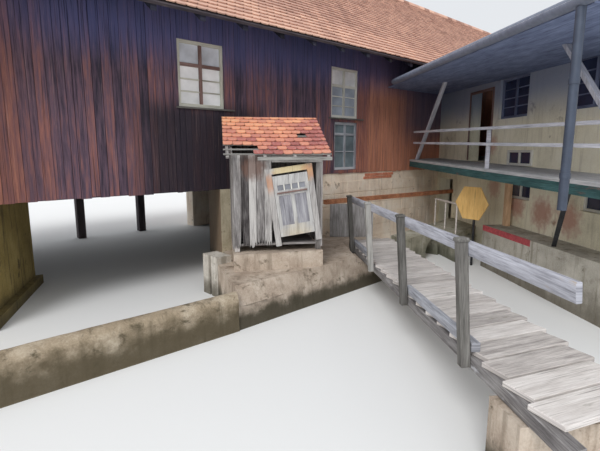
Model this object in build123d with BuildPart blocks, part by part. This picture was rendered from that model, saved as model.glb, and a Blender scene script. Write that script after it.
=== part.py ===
from build123d import *
import os
from math import cos, floor, radians, sin, tan

os.makedirs("parts", exist_ok=True)

# Millimetres. X runs along the hall to the right, Y runs into the hall, Z is up.
# The origin is at the foot of the stream pier that carries the hall's front wall.

# Levels above the lowest water line
FOOT = 0.0
DECK_TOP = 900.0
HALL_SILL = 1850.0
MASONRY_TOP = 2050.0
HALL_FLOOR_TOP = 2030.0

# Hall
HALL_LEFT = -6500.0
HALL_LENGTH = 24500.0
HALL_WIDTH = 6800.0
BOARD_WALL = 160.0
STEP_X = 2000.0
ROOF_PITCH = 38.6
EAVES_Z = 4710.0
EAVES_OUT = 1000.0
VERGE_OUT = 250.0
ROOF_THICK = 90.0
RAFTER_W = 100.0
RAFTER_H = 140.0
RAFTER_GAP = 830.0
RAFTER_TAIL = 940.0
TAIL_END = 0.6
RIDGE_R = 110.0
RIDGE_CROWN = 49.5

# Hall windows, counted from the one left of the hut
WINDOW_W = 960.0
WINDOW_H = 1170.0
WINDOW_SILL = 3400.0
WINDOW_PITCH = 3940.0
WINDOW_FIRST = -1060.0
WINDOW_INSET = 15.0
WINDOW_TRANSOM = 0.36
HATCH_TRANSOM = 0.25
FRAME_FACE = 60.0
FRAME_DEPTH = 70.0
GLASS_THICK = 5.0
HATCH_X = 3420.0
HATCH_W = 840.0
HATCH_SILL = 2140.0
HATCH_H = 1160.0

# Piers and masonry
STREAM_SKEW = 25.5
PIER_THICK = 500.0
PIER_LENGTH = 2250.0
PIER_PROUD = 100.0
LEFT_PIER_X = -4220.0
RIGHT_PIER_X = -260.0
FOOTING_OUT = 130.0
FOOTING_TOP = 170.0
MASONRY_THICK = 450.0
BACK_WALL_LEFT = 2600.0
REAR_POST = 220.0
REAR_POST_X = (-3900.0, -990.0, 870.0)

# Hut on the plinth
HUT_X = -852.0
HUT_Y = -1372.0
HUT_TURN = 32.0
HUT_W = 1500.0
HUT_D = 1050.0
HUT_BOARD = 26.0
HUT_POST = 90.0
HUT_FLOOR = 1035.0
HUT_EAVES = 2560.0
HUT_PITCH = 28.0
HUT_ROOF_THICK = 45.0
HUT_EAVES_OUT = 170.0
HUT_VERGE_OUT = 150.0
HUT_BACK_OUT = 100.0
HUT_RAFTER_H = 40.0
HUT_RAFTER_W = 50.0
RAFTER_INSET = 40.0
HUT_FLOOR_THICK = 35.0
BARE_W = 520.0
BARE_D = 230.0
BOARD_GAP = 50.0
FRONT_BOARDS = 5
FRONT_BOARDS_STEP = 3
RAGGED = 70.0
FRONT_BOARDS_W = 640.0
HEAD_BOARD_H = 130.0
DOOR_LEAN = 8.0
DOOR_FRAME_X = 1105.0
DOOR_FRAME_Z = 1040.0
DOOR_FRAME_W = 800.0
DOOR_FRAME_H = 1320.0
JAMB_W = 95.0
JAMB_THICK = 44.0
DOOR_H = 1040.0
DOOR_LIFT = 150.0
DOOR_THICK = 34.0
DOOR_GAP = 6.0
HINGE_PIN_R = 5.0
HINGE_KNUCKLE_R = 9.0
HINGE_RUN = 0.4
KNUCKLE_H = 30.0
LEAF_L = 40.0
LEAF_THICK = 3.0
HINGE_IN = 180.0
STILE_W = 62.0
PANEL_DEEP = 12.0
PANEL_FOOT = 190.0
PANEL_TOP = 700.0
LEDGE_Z = 735.0
LEDGE_H = 26.0
LEDGE_OUT = 18.0
LIGHT_FOOT = 790.0
LIGHT_TOP = 880.0
LIGHTS = 4
LIGHT_BAR = 22.0

# Plinth in the stream with its back against the hall, the slotted block and the divider wall
PLINTH_TOP = 620.0
PLINTH_EDGE = 340.0
EDGE_BATTER = 40.0
PLINTH_LEFT = -1500.0
PLINTH_FRONT = -2420.0
LEFT_BATTER = 250.0
BEND_X = 500.0
BEND_Y = -2340.0
BEND_BATTER = 80.0
PLINTH_RIGHT = 2850.0
PLINTH_RIGHT_Y = -2220.0
BED_TOP = 900.0
BED_LEFT = 26.0
BED_RIGHT = 30.0
BED_OUT_LEFT = 210.0
BED_OUT_RIGHT = 75.0
BED_OUT_BACK = 60.0
SLUICE_X = 2390.0
SLUICE_Y = -490.0
SLUICE_TURN = 42.5
SLUICE_LENGTH = 1000.0
SLUICE_THICK = 60.0
SLUICE_TOP = 1390.0
SLUICE_LEDGE = 100.0
BEAM_TURN = 5.7
BEAM_W = 120.0
BEAM_H = 100.0
BEAM_REACH = 5200.0
BLOCK_X = -945.0
BLOCK_Y = -950.0
BLOCK_W = 300.0
BLOCK_D = 500.0
BLOCK_TOP = 740.0
BLOCK_GROOVE = 60.0
DIVIDER_TOP = 560.0
DIVIDER_SHOULDER = 120.0
DIVIDER_THICK = 300.0
DIVIDER_Y = -2440.0

# Culvert wall right of the plinth, with a landing in front of it by the wing
CULVERT_X = 2850.0
CULVERT_Y = -2081.0
CULVERT_TURN = -8.0
CULVERT_REACH = 5200.0
CULVERT_D = 500.0
CULVERT_TOP = 670.0
LANDING_JOIN = (2250.0, 0.0)
LANDING_CORNER = (1680.0, -620.0)
LANDING_END = (3600.0, -530.0)
LANDING_ROOM = 100.0
WALL_ARCH = (1790.0, 350.0, 120.0)
LANDING_ARCH = (2690.0, 410.0, 150.0)
RAILING_FROM = (1800.0, -560.0)
RAILING_TO = (2640.0, 317.0)
RAILING_POSTS = 3
RAILING_H = 700.0
RAILING_R = 20.0
TOP_TUBE_R = 24.0

# Footbridge, measured from a point above its line: it falls away along its bearing
BRIDGE_X = -5000.0
BRIDGE_Y = -7600.0
BRIDGE_TURN = 37.8
BRIDGE_FALL = 0.028
DECK_OFFSET = 1840.0
DECK_W = 1045.0
DECK_NEAR = 2300.0
DECK_FAR = 9950.0
DECK_LAP = 20.0
PLANK_SKEW = 17.2
PLANK_THICK = 45.0
PLANK_W = 300.0
PLANK_GAP = 26.0
STRINGER_W = 120.0
STRINGER_H = 115.0
POST_SIDE = 90.0
POST_LEAN = 4.0
POST_DROP = 140.0
POST_LENGTH = 1168.0
POST_STATIONS = (3700.0, 5500.0, 7350.0, 9000.0)
CAP_SIDE = 112.0
CAP_H = 35.0
CAP_EDGE = 12.0
CAP_TAPER = 45.0
RAIL_H = 130.0
RAIL_THICK = 40.0
RAIL_NEAR = 2290.0
RAIL_PAST = 60.0
KERB_H = 90.0
KERB_W = 85.0
KERB_RUNS = ((3660.0, 5620.0), (7750.0, 9250.0))
NOTCH_NEAR = 7500.0
NOTCH_LEFT = 150.0
NOTCH_RIGHT = 60.0
ABUTMENT_L = 450.0
ABUTMENT_OUT = 60.0

# Wing with the gallery
WING_TURN = 37.2
WING_CORNER = 7800.0
WING_LENGTH = 9200.0
WING_DEPTH = 3600.0
WING_WALL = 320.0
WING_FALL = 0.023
WING_PAST = 2500.0
WING_FLOOR_THICK = 200.0
WING_VERGE_OUT = 150.0
EAVES_CLEAR = 40.0
UNDER_EAVES_CLEAR = 200.0
TILES_CLEAR = 20.0
ROOF_CUT = 1500.0
RIDGE_PAST = 100.0
GALLERY_DEPTH = 1270.0
GALLERY_FLOOR = 2385.0
GALLERY_FLOOR_THICK = 55.0
GALLERY_BEAM_W = 80.0
GALLERY_BEAM_H = 150.0
JOIST_W = 90.0
JOIST_H = 120.0
JOIST_COUNT = 9
JOIST_FIRST = 1500.0
JOIST_END = 500.0
RAIL_START = 1250.0
GALLERY_POST = 60.0
GALLERY_POST_S = 5350.0
GALLERY_POST_END = 300.0
GUTTER_OUT = 2200.0
GUTTER_Z = 4335.0
GUTTER_R = 70.0
GUTTER_WALL = 6.0
SOFFIT_THICK = 25.0
SOFFIT_IN = 30.0
GUTTER_START = 2550.0
GUTTER_RISE = 20.0
WING_PITCH = 22.0
WING_ROOF_THICK = 90.0
WING_EAVES_BACK = 350.0
TOP_RAIL = 800.0
LOW_RAIL = 500.0
GALLERY_RAIL_H = 55.0
GALLERY_RAIL_W = 45.0
STRUT_SIDE = 90.0
STRUT_RUN = 1750.0
STRUT_FOOT = 1180.0
STRUT_END = 150.0
WING_DOOR_S = 2600.0
WING_DOOR_W = 1250.0
WING_DOOR_H = 1800.0
UPPER_WINDOW_W = 1150.0
UPPER_WINDOW_H = 900.0
UPPER_WINDOW_Z = 3330.0
UPPER_WINDOW_S = (4050.0, 6450.0)
WING_WINDOW_INSET = 60.0
LOW_WINDOW_W = 900.0
LOW_WINDOW_H = 360.0
LOW_WINDOW_Z = 1560.0
LOW_WINDOW_S = (4500.0, 6900.0)
LOW_DOOR_S = 700.0
LOW_DOOR_W = 900.0
LOW_DOOR_H = 1780.0
WALKWAY_TOP = 950.0
WALKWAY_OUT = 600.0
WALKWAY_LEFT = 4240.0
PROP_S = 4400.0
PROP_OUT = 150.0
PROP_W = 130.0
PROP_D = 110.0
RAKE_FOOT_S = 6600.0
RAKE_FOOT_OUT = 520.0
RAKE_HEAD_S = 7800.0
RAKE_SIDE = 70.0
DOWNPIPE_R = 50.0
PIPE_WALL = 4.0
DOWNPIPE_FOOT = 1950.0

# Board on a post by the culvert
BOARD_X = 4626.7
BOARD_Y = -2787.6
BOARD_Z = 1435.0
BOARD_TURN = 98.0
BOARD_R = 425.0
BOARD_THICK = 25.0
BOARD_POST = 40.0
BOARD_POST_X = 64.0

SEAT = 0.3
SLOPE = tan(radians(ROOF_PITCH))
HALL_RIGHT = HALL_LEFT + HALL_LENGTH
HALF_WIDTH = HALL_WIDTH / 2


def save(part, label):
    """Name a finished piece and write it."""
    part.label = label
    export_step(part, f"parts/{label}.step")


def soffit(y):
    """Height of the underside of the hall roof at a depth y."""
    inward = y if y <= HALF_WIDTH else HALL_WIDTH - y
    return EAVES_Z + (inward + EAVES_OUT) * SLOPE


def turned(x, y, bearing, z=0.0):
    """Plan plane at (x, y): local X runs to the right and local Y runs away on the bearing."""
    a = radians(bearing)
    return Plane(origin=(x, y, z), x_dir=(cos(a), -sin(a), 0), z_dir=(0, 0, 1))


def block(plane, x0, x1, y0, y1, z0, z1):
    """Squared block between local x, y and z limits."""
    with BuildPart() as made:
        with BuildSketch(plane.offset(z0)):
            with Locations(((x0 + x1) / 2, (y0 + y1) / 2)):
                Rectangle(x1 - x0, y1 - y0)
        extrude(amount=z1 - z0)
    return made.part


GROUND = turned(0, 0, 0)
FRONT = Plane.XZ

# Hall windows that show, and the ones that repeat out of sight
front_windows = [WINDOW_FIRST + WINDOW_PITCH * n for n in (-1, 0, 1)]
back_windows = [WINDOW_FIRST + WINDOW_PITCH * n for n in (-1, 0, 1, 2, 3, 4)]


def wall_section(y0, y1, z0):
    """Section of a long wall, cut to the roof's slope at its top."""
    return [(y0, z0), (y1, z0), (y1, soffit(y1)), (y0, soffit(y0))]


SIDE = Plane(origin=(HALL_LEFT, 0, 0), x_dir=(0, 1, 0), z_dir=(1, 0, 0))

# Front wall of boards on studs, lower over the stream than over the masonry
with BuildPart() as hall_front_wall:
    with BuildSketch(SIDE):
        Polygon(*wall_section(0, BOARD_WALL, HALL_SILL), align=None)
    extrude(amount=HALL_LENGTH)
    with BuildSketch(FRONT):
        with Locations(((STEP_X + HALL_RIGHT) / 2, (HALL_SILL + MASONRY_TOP) / 2)):
            Rectangle(HALL_RIGHT - STEP_X, MASONRY_TOP - HALL_SILL)
        with Locations(*[(x + WINDOW_W / 2, WINDOW_SILL + WINDOW_H / 2) for x in front_windows]):
            Rectangle(WINDOW_W, WINDOW_H)
        with Locations((HATCH_X, HATCH_SILL + HATCH_H / 2)):
            Rectangle(HATCH_W, HATCH_H)
    extrude(amount=-BOARD_WALL, mode=Mode.SUBTRACT)
save(hall_front_wall.part, "hall_front_wall")

with BuildPart() as hall_back_wall:
    with BuildSketch(SIDE):
        Polygon(*wall_section(HALL_WIDTH - BOARD_WALL, HALL_WIDTH, HALL_SILL), align=None)
    extrude(amount=HALL_LENGTH)
    with BuildSketch(FRONT.offset(-HALL_WIDTH)):
        with Locations(*[(x + WINDOW_W / 2, WINDOW_SILL + WINDOW_H / 2) for x in back_windows]):
            Rectangle(WINDOW_W, WINDOW_H)
    extrude(amount=BOARD_WALL, mode=Mode.SUBTRACT)
save(hall_back_wall.part, "hall_back_wall")

with BuildPart() as hall_gables:
    for x in (0.0, HALL_LENGTH - BOARD_WALL):
        with BuildSketch(SIDE.offset(x)):
            Polygon(
                (BOARD_WALL, HALL_SILL),
                (HALL_WIDTH - BOARD_WALL, HALL_SILL),
                (HALL_WIDTH - BOARD_WALL, soffit(HALL_WIDTH - BOARD_WALL)),
                (HALF_WIDTH, soffit(HALF_WIDTH)),
                (BOARD_WALL, soffit(BOARD_WALL)),
                align=None,
            )
        extrude(amount=BOARD_WALL)
save(hall_gables.part, "hall_gables")

hall_floor = block(
    GROUND,
    HALL_LEFT + BOARD_WALL,
    HALL_RIGHT - BOARD_WALL,
    BOARD_WALL,
    HALL_WIDTH - BOARD_WALL,
    HALL_SILL,
    HALL_FLOOR_TOP,
)
save(hall_floor, "hall_floor")

# Roof slopes meet in a plumb joint under the ridge tiles
drop = ROOF_THICK / cos(radians(ROOF_PITCH))
roof_left = HALL_LEFT - VERGE_OUT
with BuildPart() as hall_roof_front:
    with BuildSketch(Plane(origin=(roof_left, 0, 0), x_dir=(0, 1, 0), z_dir=(1, 0, 0))):
        Polygon(
            (-EAVES_OUT, soffit(-EAVES_OUT)),
            (HALF_WIDTH, soffit(HALF_WIDTH)),
            (HALF_WIDTH, soffit(HALF_WIDTH) + drop),
            (-EAVES_OUT, soffit(-EAVES_OUT) + drop),
            align=None,
        )
    extrude(amount=HALL_LENGTH + 2 * VERGE_OUT)
save(hall_roof_front.part, "hall_roof_front")

with BuildPart() as hall_roof_back:
    with BuildSketch(Plane(origin=(roof_left, 0, 0), x_dir=(0, 1, 0), z_dir=(1, 0, 0))):
        Polygon(
            (HALL_WIDTH + EAVES_OUT, soffit(HALL_WIDTH + EAVES_OUT)),
            (HALF_WIDTH, soffit(HALF_WIDTH)),
            (HALF_WIDTH, soffit(HALF_WIDTH) + drop),
            (HALL_WIDTH + EAVES_OUT, soffit(HALL_WIDTH + EAVES_OUT) + drop),
            align=None,
        )
    extrude(amount=HALL_LENGTH + 2 * VERGE_OUT)
save(hall_roof_back.part, "hall_roof_back")

ridge_z = soffit(HALF_WIDTH) + drop
with BuildPart() as hall_ridge:
    with BuildSketch(Plane(origin=(roof_left, 0, 0), x_dir=(0, 1, 0), z_dir=(1, 0, 0))):
        fall = RIDGE_R * SLOPE
        with BuildLine():
            Polyline(
                (HALF_WIDTH - RIDGE_R, ridge_z - fall),
                (HALF_WIDTH, ridge_z),
                (HALF_WIDTH + RIDGE_R, ridge_z - fall),
            )
            ThreePointArc(
                (HALF_WIDTH + RIDGE_R, ridge_z - fall),
                (HALF_WIDTH, ridge_z + RIDGE_CROWN),
                (HALF_WIDTH - RIDGE_R, ridge_z - fall),
            )
        make_face()
    extrude(amount=HALL_LENGTH + 2 * VERGE_OUT)
save(hall_ridge.part, "hall_ridge")

# Rafter tails under both eaves, each set against its wall
rafter_count = int(HALL_LENGTH / RAFTER_GAP)
tail_depth = RAFTER_H / cos(radians(ROOF_PITCH))
with BuildPart() as rafter_tails:
    for sign, wall_y in ((1, 0.0), (-1, HALL_WIDTH)):
        outer = wall_y - sign * RAFTER_TAIL
        for n in range(rafter_count):
            with BuildSketch(SIDE.offset(RAFTER_GAP * (n + 0.5))):
                Polygon(
                    (wall_y, soffit(wall_y)),
                    (outer, soffit(outer)),
                    (outer, soffit(outer) - tail_depth * TAIL_END),
                    (wall_y, soffit(wall_y) - tail_depth),
                    align=None,
                )
            extrude(amount=RAFTER_W)
save(rafter_tails.part, "rafter_tails")


def window(x0, width, sill, height, y_face, outward, transom=WINDOW_TRANSOM):
    """Fixed window frame with a mullion and a transom, its face flush inside the wall."""
    with BuildPart() as made:
        with BuildSketch(FRONT.offset(-y_face)):
            with Locations((x0 + width / 2, sill + height / 2)):
                Rectangle(width, height)
            low = height * (1 - transom) - 1.5 * FRAME_FACE
            top = height * transom - 1.5 * FRAME_FACE
            light = (width - 3 * FRAME_FACE) / 2
            for side in (-1, 1):
                cx = x0 + width / 2 + side * (light + FRAME_FACE) / 2
                with Locations((cx, sill + FRAME_FACE + low / 2)):
                    Rectangle(light, low, mode=Mode.SUBTRACT)
                with Locations((cx, sill + height - FRAME_FACE - top / 2)):
                    Rectangle(light, top, mode=Mode.SUBTRACT)
        extrude(amount=-FRAME_DEPTH * outward)
        with BuildSketch(FRONT.offset(-y_face - outward * (FRAME_DEPTH - GLASS_THICK) / 2)):
            with Locations((x0 + width / 2, sill + height / 2)):
                Rectangle(width - FRAME_FACE, height - FRAME_FACE)
        extrude(amount=-GLASS_THICK * outward)
    return made.part


with BuildPart() as hall_windows:
    for x in front_windows:
        add(window(x, WINDOW_W, WINDOW_SILL, WINDOW_H, WINDOW_INSET, 1))
    for x in back_windows:
        add(window(x, WINDOW_W, WINDOW_SILL, WINDOW_H, HALL_WIDTH - WINDOW_INSET, -1))
    add(window(HATCH_X - HATCH_W / 2, HATCH_W, HATCH_SILL, HATCH_H, WINDOW_INSET, 1, HATCH_TRANSOM))
save(hall_windows.part, "hall_windows")

# Stream piers run skew under the hall, each with a footing ledge on its stream side
skew = tan(radians(STREAM_SKEW))


def skewed(x_front, x_back_add, y0, y1):
    """Plan corners of a wall whose sides follow the stream."""
    return [
        (x_front + y0 * skew, y0),
        (x_front + x_back_add + y0 * skew, y0),
        (x_front + x_back_add + y1 * skew, y1),
        (x_front + y1 * skew, y1),
    ]


with BuildPart() as left_pier:
    with BuildSketch(Plane.XY):
        Polygon(*skewed(LEFT_PIER_X - PIER_THICK, PIER_THICK, -PIER_PROUD, PIER_LENGTH), align=None)
    extrude(amount=HALL_SILL)
    with BuildSketch(Plane.XY):
        Polygon(*skewed(LEFT_PIER_X, FOOTING_OUT, -PIER_PROUD, PIER_LENGTH), align=None)
    extrude(amount=FOOTING_TOP)
save(left_pier.part, "left_pier")
with BuildPart() as middle_pier:
    with BuildSketch(Plane.XY):
        Polygon(*skewed(RIGHT_PIER_X, PIER_THICK, -PIER_PROUD, PIER_LENGTH), align=None)
    extrude(amount=HALL_SILL)
save(middle_pier.part, "middle_pier")

# Masonry storey right of the stream, left abutment and rear supports
front_base_left = RIGHT_PIER_X + PIER_THICK
with BuildPart() as base_front_wall:
    with BuildSketch(Plane.XY):
        Polygon(
            (front_base_left, 0),
            (HALL_RIGHT, 0),
            (HALL_RIGHT, MASONRY_THICK),
            (front_base_left + MASONRY_THICK * skew, MASONRY_THICK),
            align=None,
        )
    extrude(amount=HALL_SILL)
    with BuildSketch(Plane.XY.offset(HALL_SILL)):
        with Locations(((STEP_X + HALL_RIGHT) / 2, BOARD_WALL / 2)):
            Rectangle(HALL_RIGHT - STEP_X, BOARD_WALL)
    extrude(amount=MASONRY_TOP - HALL_SILL)
save(base_front_wall.part, "base_front_wall")
with BuildPart() as base_back_wall:
    with BuildSketch(Plane.XY):
        Polygon(
            (BACK_WALL_LEFT, HALL_WIDTH),
            (BACK_WALL_LEFT, HALL_WIDTH - MASONRY_THICK),
            (HALL_RIGHT - MASONRY_THICK, HALL_WIDTH - MASONRY_THICK),
            (HALL_RIGHT - MASONRY_THICK, MASONRY_THICK),
            (HALL_RIGHT, MASONRY_THICK),
            (HALL_RIGHT, HALL_WIDTH),
            align=None,
        )
    extrude(amount=HALL_SILL)
save(base_back_wall.part, "base_back_wall")
with BuildPart() as left_abutment:
    with BuildSketch(Plane.XY):
        Polygon(
            (HALL_LEFT, 0),
            (LEFT_PIER_X - PIER_THICK, 0),
            (LEFT_PIER_X - PIER_THICK + MASONRY_THICK * skew, MASONRY_THICK),
            (HALL_LEFT + MASONRY_THICK, MASONRY_THICK),
            (HALL_LEFT + MASONRY_THICK, HALL_WIDTH),
            (HALL_LEFT, HALL_WIDTH),
            align=None,
        )
    extrude(amount=HALL_SILL)
save(left_abutment.part, "left_abutment")
with BuildPart() as rear_posts:
    with BuildSketch(Plane.XY):
        with Locations(*[(x, HALL_WIDTH - REAR_POST / 2) for x in REAR_POST_X]):
            Rectangle(REAR_POST, REAR_POST)
    extrude(amount=HALL_SILL)
save(rear_posts.part, "rear_posts")

# Plinth with a battered front, the slotted block and the divider wall
SLUICE = turned(SLUICE_X, SLUICE_Y, SLUICE_TURN)
sluice_end = SLUICE.from_local_coords((SLUICE_LENGTH + SLUICE_LEDGE, 0))
sluice_start = SLUICE.from_local_coords((0, SLUICE_LEDGE))
left_back = (BLOCK_X, BLOCK_Y - SEAT)
right_back = (sluice_end.X, sluice_end.Y)


def slid(start, end, y):
    """Point of the line from start to end that lies at a depth y."""
    share = (y - start[1]) / (end[1] - start[1])
    return (start[0] + share * (end[0] - start[0]), y)


plinth_back = [
    right_back,
    (sluice_start.X, sluice_start.Y),
    (sluice_start.X, -SEAT),
    (front_base_left + SEAT, -SEAT),
    (front_base_left + SEAT, -PIER_PROUD - SEAT),
    (RIGHT_PIER_X - SEAT, -PIER_PROUD - SEAT),
    (BLOCK_X + BLOCK_W + SEAT, BLOCK_Y + BLOCK_D),
    (BLOCK_X + BLOCK_W + SEAT, BLOCK_Y - SEAT),
    left_back,
]
front_left = (PLINTH_LEFT, PLINTH_FRONT)
front_right = (PLINTH_RIGHT, PLINTH_RIGHT_Y)


def front_line(left_in, bend_in):
    """Front of the plinth, set back by one amount at its left and another from its bend on."""
    return [
        slid(front_left, left_back, PLINTH_FRONT + left_in),
        (BEND_X, BEND_Y + bend_in),
        slid(front_right, right_back, PLINTH_RIGHT_Y + bend_in),
    ]


# The footbridge runs down on to the plinth, which is notched for its stringers and last post
BRIDGE = Plane(
    origin=(BRIDGE_X, BRIDGE_Y, DECK_TOP),
    x_dir=(cos(radians(BRIDGE_TURN)), -sin(radians(BRIDGE_TURN)), 0),
    z_dir=(
        BRIDGE_FALL * sin(radians(BRIDGE_TURN)),
        BRIDGE_FALL * cos(radians(BRIDGE_TURN)),
        1,
    ),
)
stringer_under = -PLANK_THICK - STRINGER_H
deck_right = DECK_OFFSET + DECK_W
skew_rise = tan(radians(PLANK_SKEW))


def near_end(r):
    """Station of the deck's near end, which is cut along the planks."""
    return DECK_NEAR + (r - DECK_OFFSET) * skew_rise


def far_end(r):
    """Station of the deck's far end, which is cut along the planks."""
    return DECK_FAR - (deck_right - r) * skew_rise


with BuildPart() as bridge_seat:
    with BuildSketch(BRIDGE.offset(stringer_under - SEAT)):
        notch_left = DECK_OFFSET - NOTCH_LEFT
        notch_right = deck_right + NOTCH_RIGHT
        Polygon(
            (notch_left, NOTCH_NEAR),
            (notch_right, NOTCH_NEAR),
            (notch_right, far_end(notch_right) + SEAT),
            (notch_left, far_end(notch_left) + SEAT),
            align=None,
        )
    extrude(amount=PLINTH_TOP)

with BuildPart() as plinth:
    for z, left_in, bend_in in (
        (FOOT, 0.0, 0.0),
        (PLINTH_EDGE, EDGE_BATTER, EDGE_BATTER),
        (PLINTH_TOP, LEFT_BATTER, BEND_BATTER),
    ):
        with BuildSketch(Plane.XY.offset(z)):
            Polygon(*front_line(left_in, bend_in), *plinth_back, align=None)
    loft(ruled=True)
    add(bridge_seat.part, mode=Mode.SUBTRACT)
    with BuildSketch(turned(HUT_X, HUT_Y, HUT_TURN, PLINTH_TOP)):
        Polygon(
            (-BED_LEFT, -BED_OUT_LEFT),
            (HUT_W + BED_RIGHT, -BED_OUT_RIGHT),
            (HUT_W + BED_RIGHT, HUT_D + BED_OUT_BACK),
            (-BED_LEFT, HUT_D + BED_OUT_BACK),
            align=None,
        )
    extrude(amount=BED_TOP - PLINTH_TOP)
save(plinth.part, "plinth")
with BuildPart() as slotted_block:
    with BuildSketch(Plane.XY):
        with Locations((BLOCK_X + BLOCK_W / 2, BLOCK_Y + BLOCK_D / 2)):
            Rectangle(BLOCK_W, BLOCK_D)
        with Locations((BLOCK_X, BLOCK_Y + BLOCK_D / 2)):
            Rectangle(2 * BLOCK_GROOVE, BLOCK_GROOVE, mode=Mode.SUBTRACT)
    extrude(amount=BLOCK_TOP)
save(slotted_block.part, "slotted_block")
plinth_side = Plane(
    origin=(PLINTH_LEFT, PLINTH_FRONT, 0),
    x_dir=(left_back[0] - PLINTH_LEFT, left_back[1] - PLINTH_FRONT, 0),
    z_dir=(PLINTH_FRONT - left_back[1], left_back[0] - PLINTH_LEFT, 0),
)
with BuildPart() as divider_wall:
    with BuildSketch(Plane(origin=(HALL_LEFT, DIVIDER_Y, 0), x_dir=(0, 1, 0), z_dir=(1, 0, 0))):
        shoulder = DIVIDER_TOP - DIVIDER_SHOULDER
        with BuildLine():
            Polyline((0, shoulder), (0, 0), (DIVIDER_THICK, 0), (DIVIDER_THICK, shoulder))
            ThreePointArc((DIVIDER_THICK, shoulder), (DIVIDER_THICK / 2, DIVIDER_TOP), (0, shoulder))
        make_face()
    extrude(amount=PLINTH_LEFT - HALL_LEFT + DIVIDER_THICK)
    split(bisect_by=plinth_side.offset(SEAT), keep=Keep.TOP)
save(divider_wall.part, "divider_wall")

# Hut: boarded box on its stone bed, with a lean-to roof and a hinged door
HUT = turned(HUT_X, HUT_Y, HUT_TURN)
hut_slope = tan(radians(HUT_PITCH))
with BuildPart() as hut_posts:
    for y, rise in ((HUT_POST / 2, 0.0), (HUT_D - HUT_POST / 2, (HUT_D - HUT_POST) * hut_slope)):
        with BuildSketch(HUT.offset(BED_TOP)):
            with Locations((HUT_POST / 2, y), (HUT_W - HUT_POST / 2, y)):
                Rectangle(HUT_POST, HUT_POST)
        extrude(amount=HUT_EAVES - BED_TOP + rise)
save(hut_posts.part, "hut_posts")

hut_front = Plane(origin=HUT.origin, x_dir=HUT.x_dir, z_dir=-HUT.y_dir)
hut_side = Plane(origin=HUT.origin, x_dir=HUT.y_dir, z_dir=HUT.x_dir)
board_top = HUT_EAVES - HUT_BOARD * hut_slope - SEAT
board_foot = BED_TOP + BOARD_GAP
board_w = FRONT_BOARDS_W / FRONT_BOARDS
# The front boards stand side by side on the head board's line, with ragged feet
with BuildPart() as hut_front_boards:
    with BuildSketch(hut_front):
        for n in range(FRONT_BOARDS):
            foot = board_foot + RAGGED * (n * FRONT_BOARDS_STEP % FRONT_BOARDS) / FRONT_BOARDS
            with Locations((board_w * (n + 0.5), (foot + board_top) / 2)):
                Rectangle(board_w, board_top - foot)
        with Locations(((FRONT_BOARDS_W + HUT_W) / 2, board_top - HEAD_BOARD_H / 2)):
            Rectangle(HUT_W - FRONT_BOARDS_W, HEAD_BOARD_H)
    extrude(amount=HUT_BOARD)
save(hut_front_boards.part, "hut_front_boards")
with BuildPart() as hut_side_boards:
    for x in (-HUT_BOARD, HUT_W):
        with BuildSketch(hut_side.offset(x)):
            Polygon(
                (0, board_foot),
                (HUT_D, board_foot),
                (HUT_D, HUT_EAVES + HUT_D * hut_slope),
                (0, HUT_EAVES),
                align=None,
            )
        extrude(amount=HUT_BOARD)
save(hut_side_boards.part, "hut_side_boards")
with BuildPart() as hut_back_boards:
    with BuildSketch(hut_front.offset(-HUT_D)):
        top = HUT_EAVES + HUT_D * hut_slope - SEAT
        with Locations((HUT_W / 2, (board_foot + top) / 2)):
            Rectangle(HUT_W, top - board_foot)
    extrude(amount=-HUT_BOARD)
save(hut_back_boards.part, "hut_back_boards")
save(
    block(HUT, HUT_POST, HUT_W - HUT_POST, 0, HUT_D, HUT_FLOOR - HUT_FLOOR_THICK, HUT_FLOOR),
    "hut_floor",
)


def on_slope(y, lift):
    """Point of the hut's section at a depth y, above the roof's underside."""
    return (y, HUT_EAVES + HUT_RAFTER_H + y * hut_slope + lift)


# Roof with its lowest courses gone at the left, over four rafters
tile_rise = HUT_ROOF_THICK / cos(radians(HUT_PITCH))
eave_y = -HUT_EAVES_OUT
top_y = HUT_D + HUT_BACK_OUT
with BuildPart() as hut_roof:
    for x0, x1, y0 in (
        (-HUT_VERGE_OUT, BARE_W - HUT_VERGE_OUT, eave_y + BARE_D),
        (BARE_W - HUT_VERGE_OUT, HUT_W + HUT_VERGE_OUT, eave_y),
    ):
        with BuildSketch(hut_side.offset(x0)):
            Polygon(
                on_slope(y0, 0),
                on_slope(top_y, 0),
                on_slope(top_y, tile_rise),
                on_slope(y0, tile_rise),
                align=None,
            )
        extrude(amount=x1 - x0)
save(hut_roof.part, "hut_roof")
rafter_steps = (
    RAFTER_INSET - HUT_VERGE_OUT,
    HUT_W / 3,
    HUT_W * 2 / 3,
    HUT_W + HUT_VERGE_OUT - 2 * RAFTER_INSET,
)
with BuildPart() as hut_rafters:
    for x in rafter_steps:
        with BuildSketch(hut_side.offset(x)):
            Polygon(
                on_slope(eave_y + RAFTER_INSET / 2, 0),
                on_slope(top_y, 0),
                on_slope(top_y, -HUT_RAFTER_H),
                on_slope(eave_y + RAFTER_INSET / 2, -HUT_RAFTER_H),
                align=None,
            )
        extrude(amount=HUT_RAFTER_W)
save(hut_rafters.part, "hut_rafters")

# The door frame leans in the plane of the front, with the leaf hung inside it
lean = radians(DOOR_LEAN)
door_plane = Plane(
    origin=hut_front.from_local_coords((DOOR_FRAME_X, DOOR_FRAME_Z, HUT_BOARD + SEAT)),
    x_dir=hut_front.x_dir * cos(lean) + hut_front.y_dir * sin(lean),
    z_dir=hut_front.z_dir,
)
DOOR_W = DOOR_FRAME_W - 2 * JAMB_W - 2 * DOOR_GAP
hinge_x = DOOR_W / 2 + DOOR_GAP / 2
hinge_out = JAMB_THICK + HINGE_KNUCKLE_R
hinge_heights = (DOOR_LIFT + HINGE_IN, DOOR_LIFT + DOOR_H - HINGE_IN)
hinge_plan = Plane(origin=door_plane.origin, x_dir=door_plane.x_dir, z_dir=door_plane.y_dir)


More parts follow.
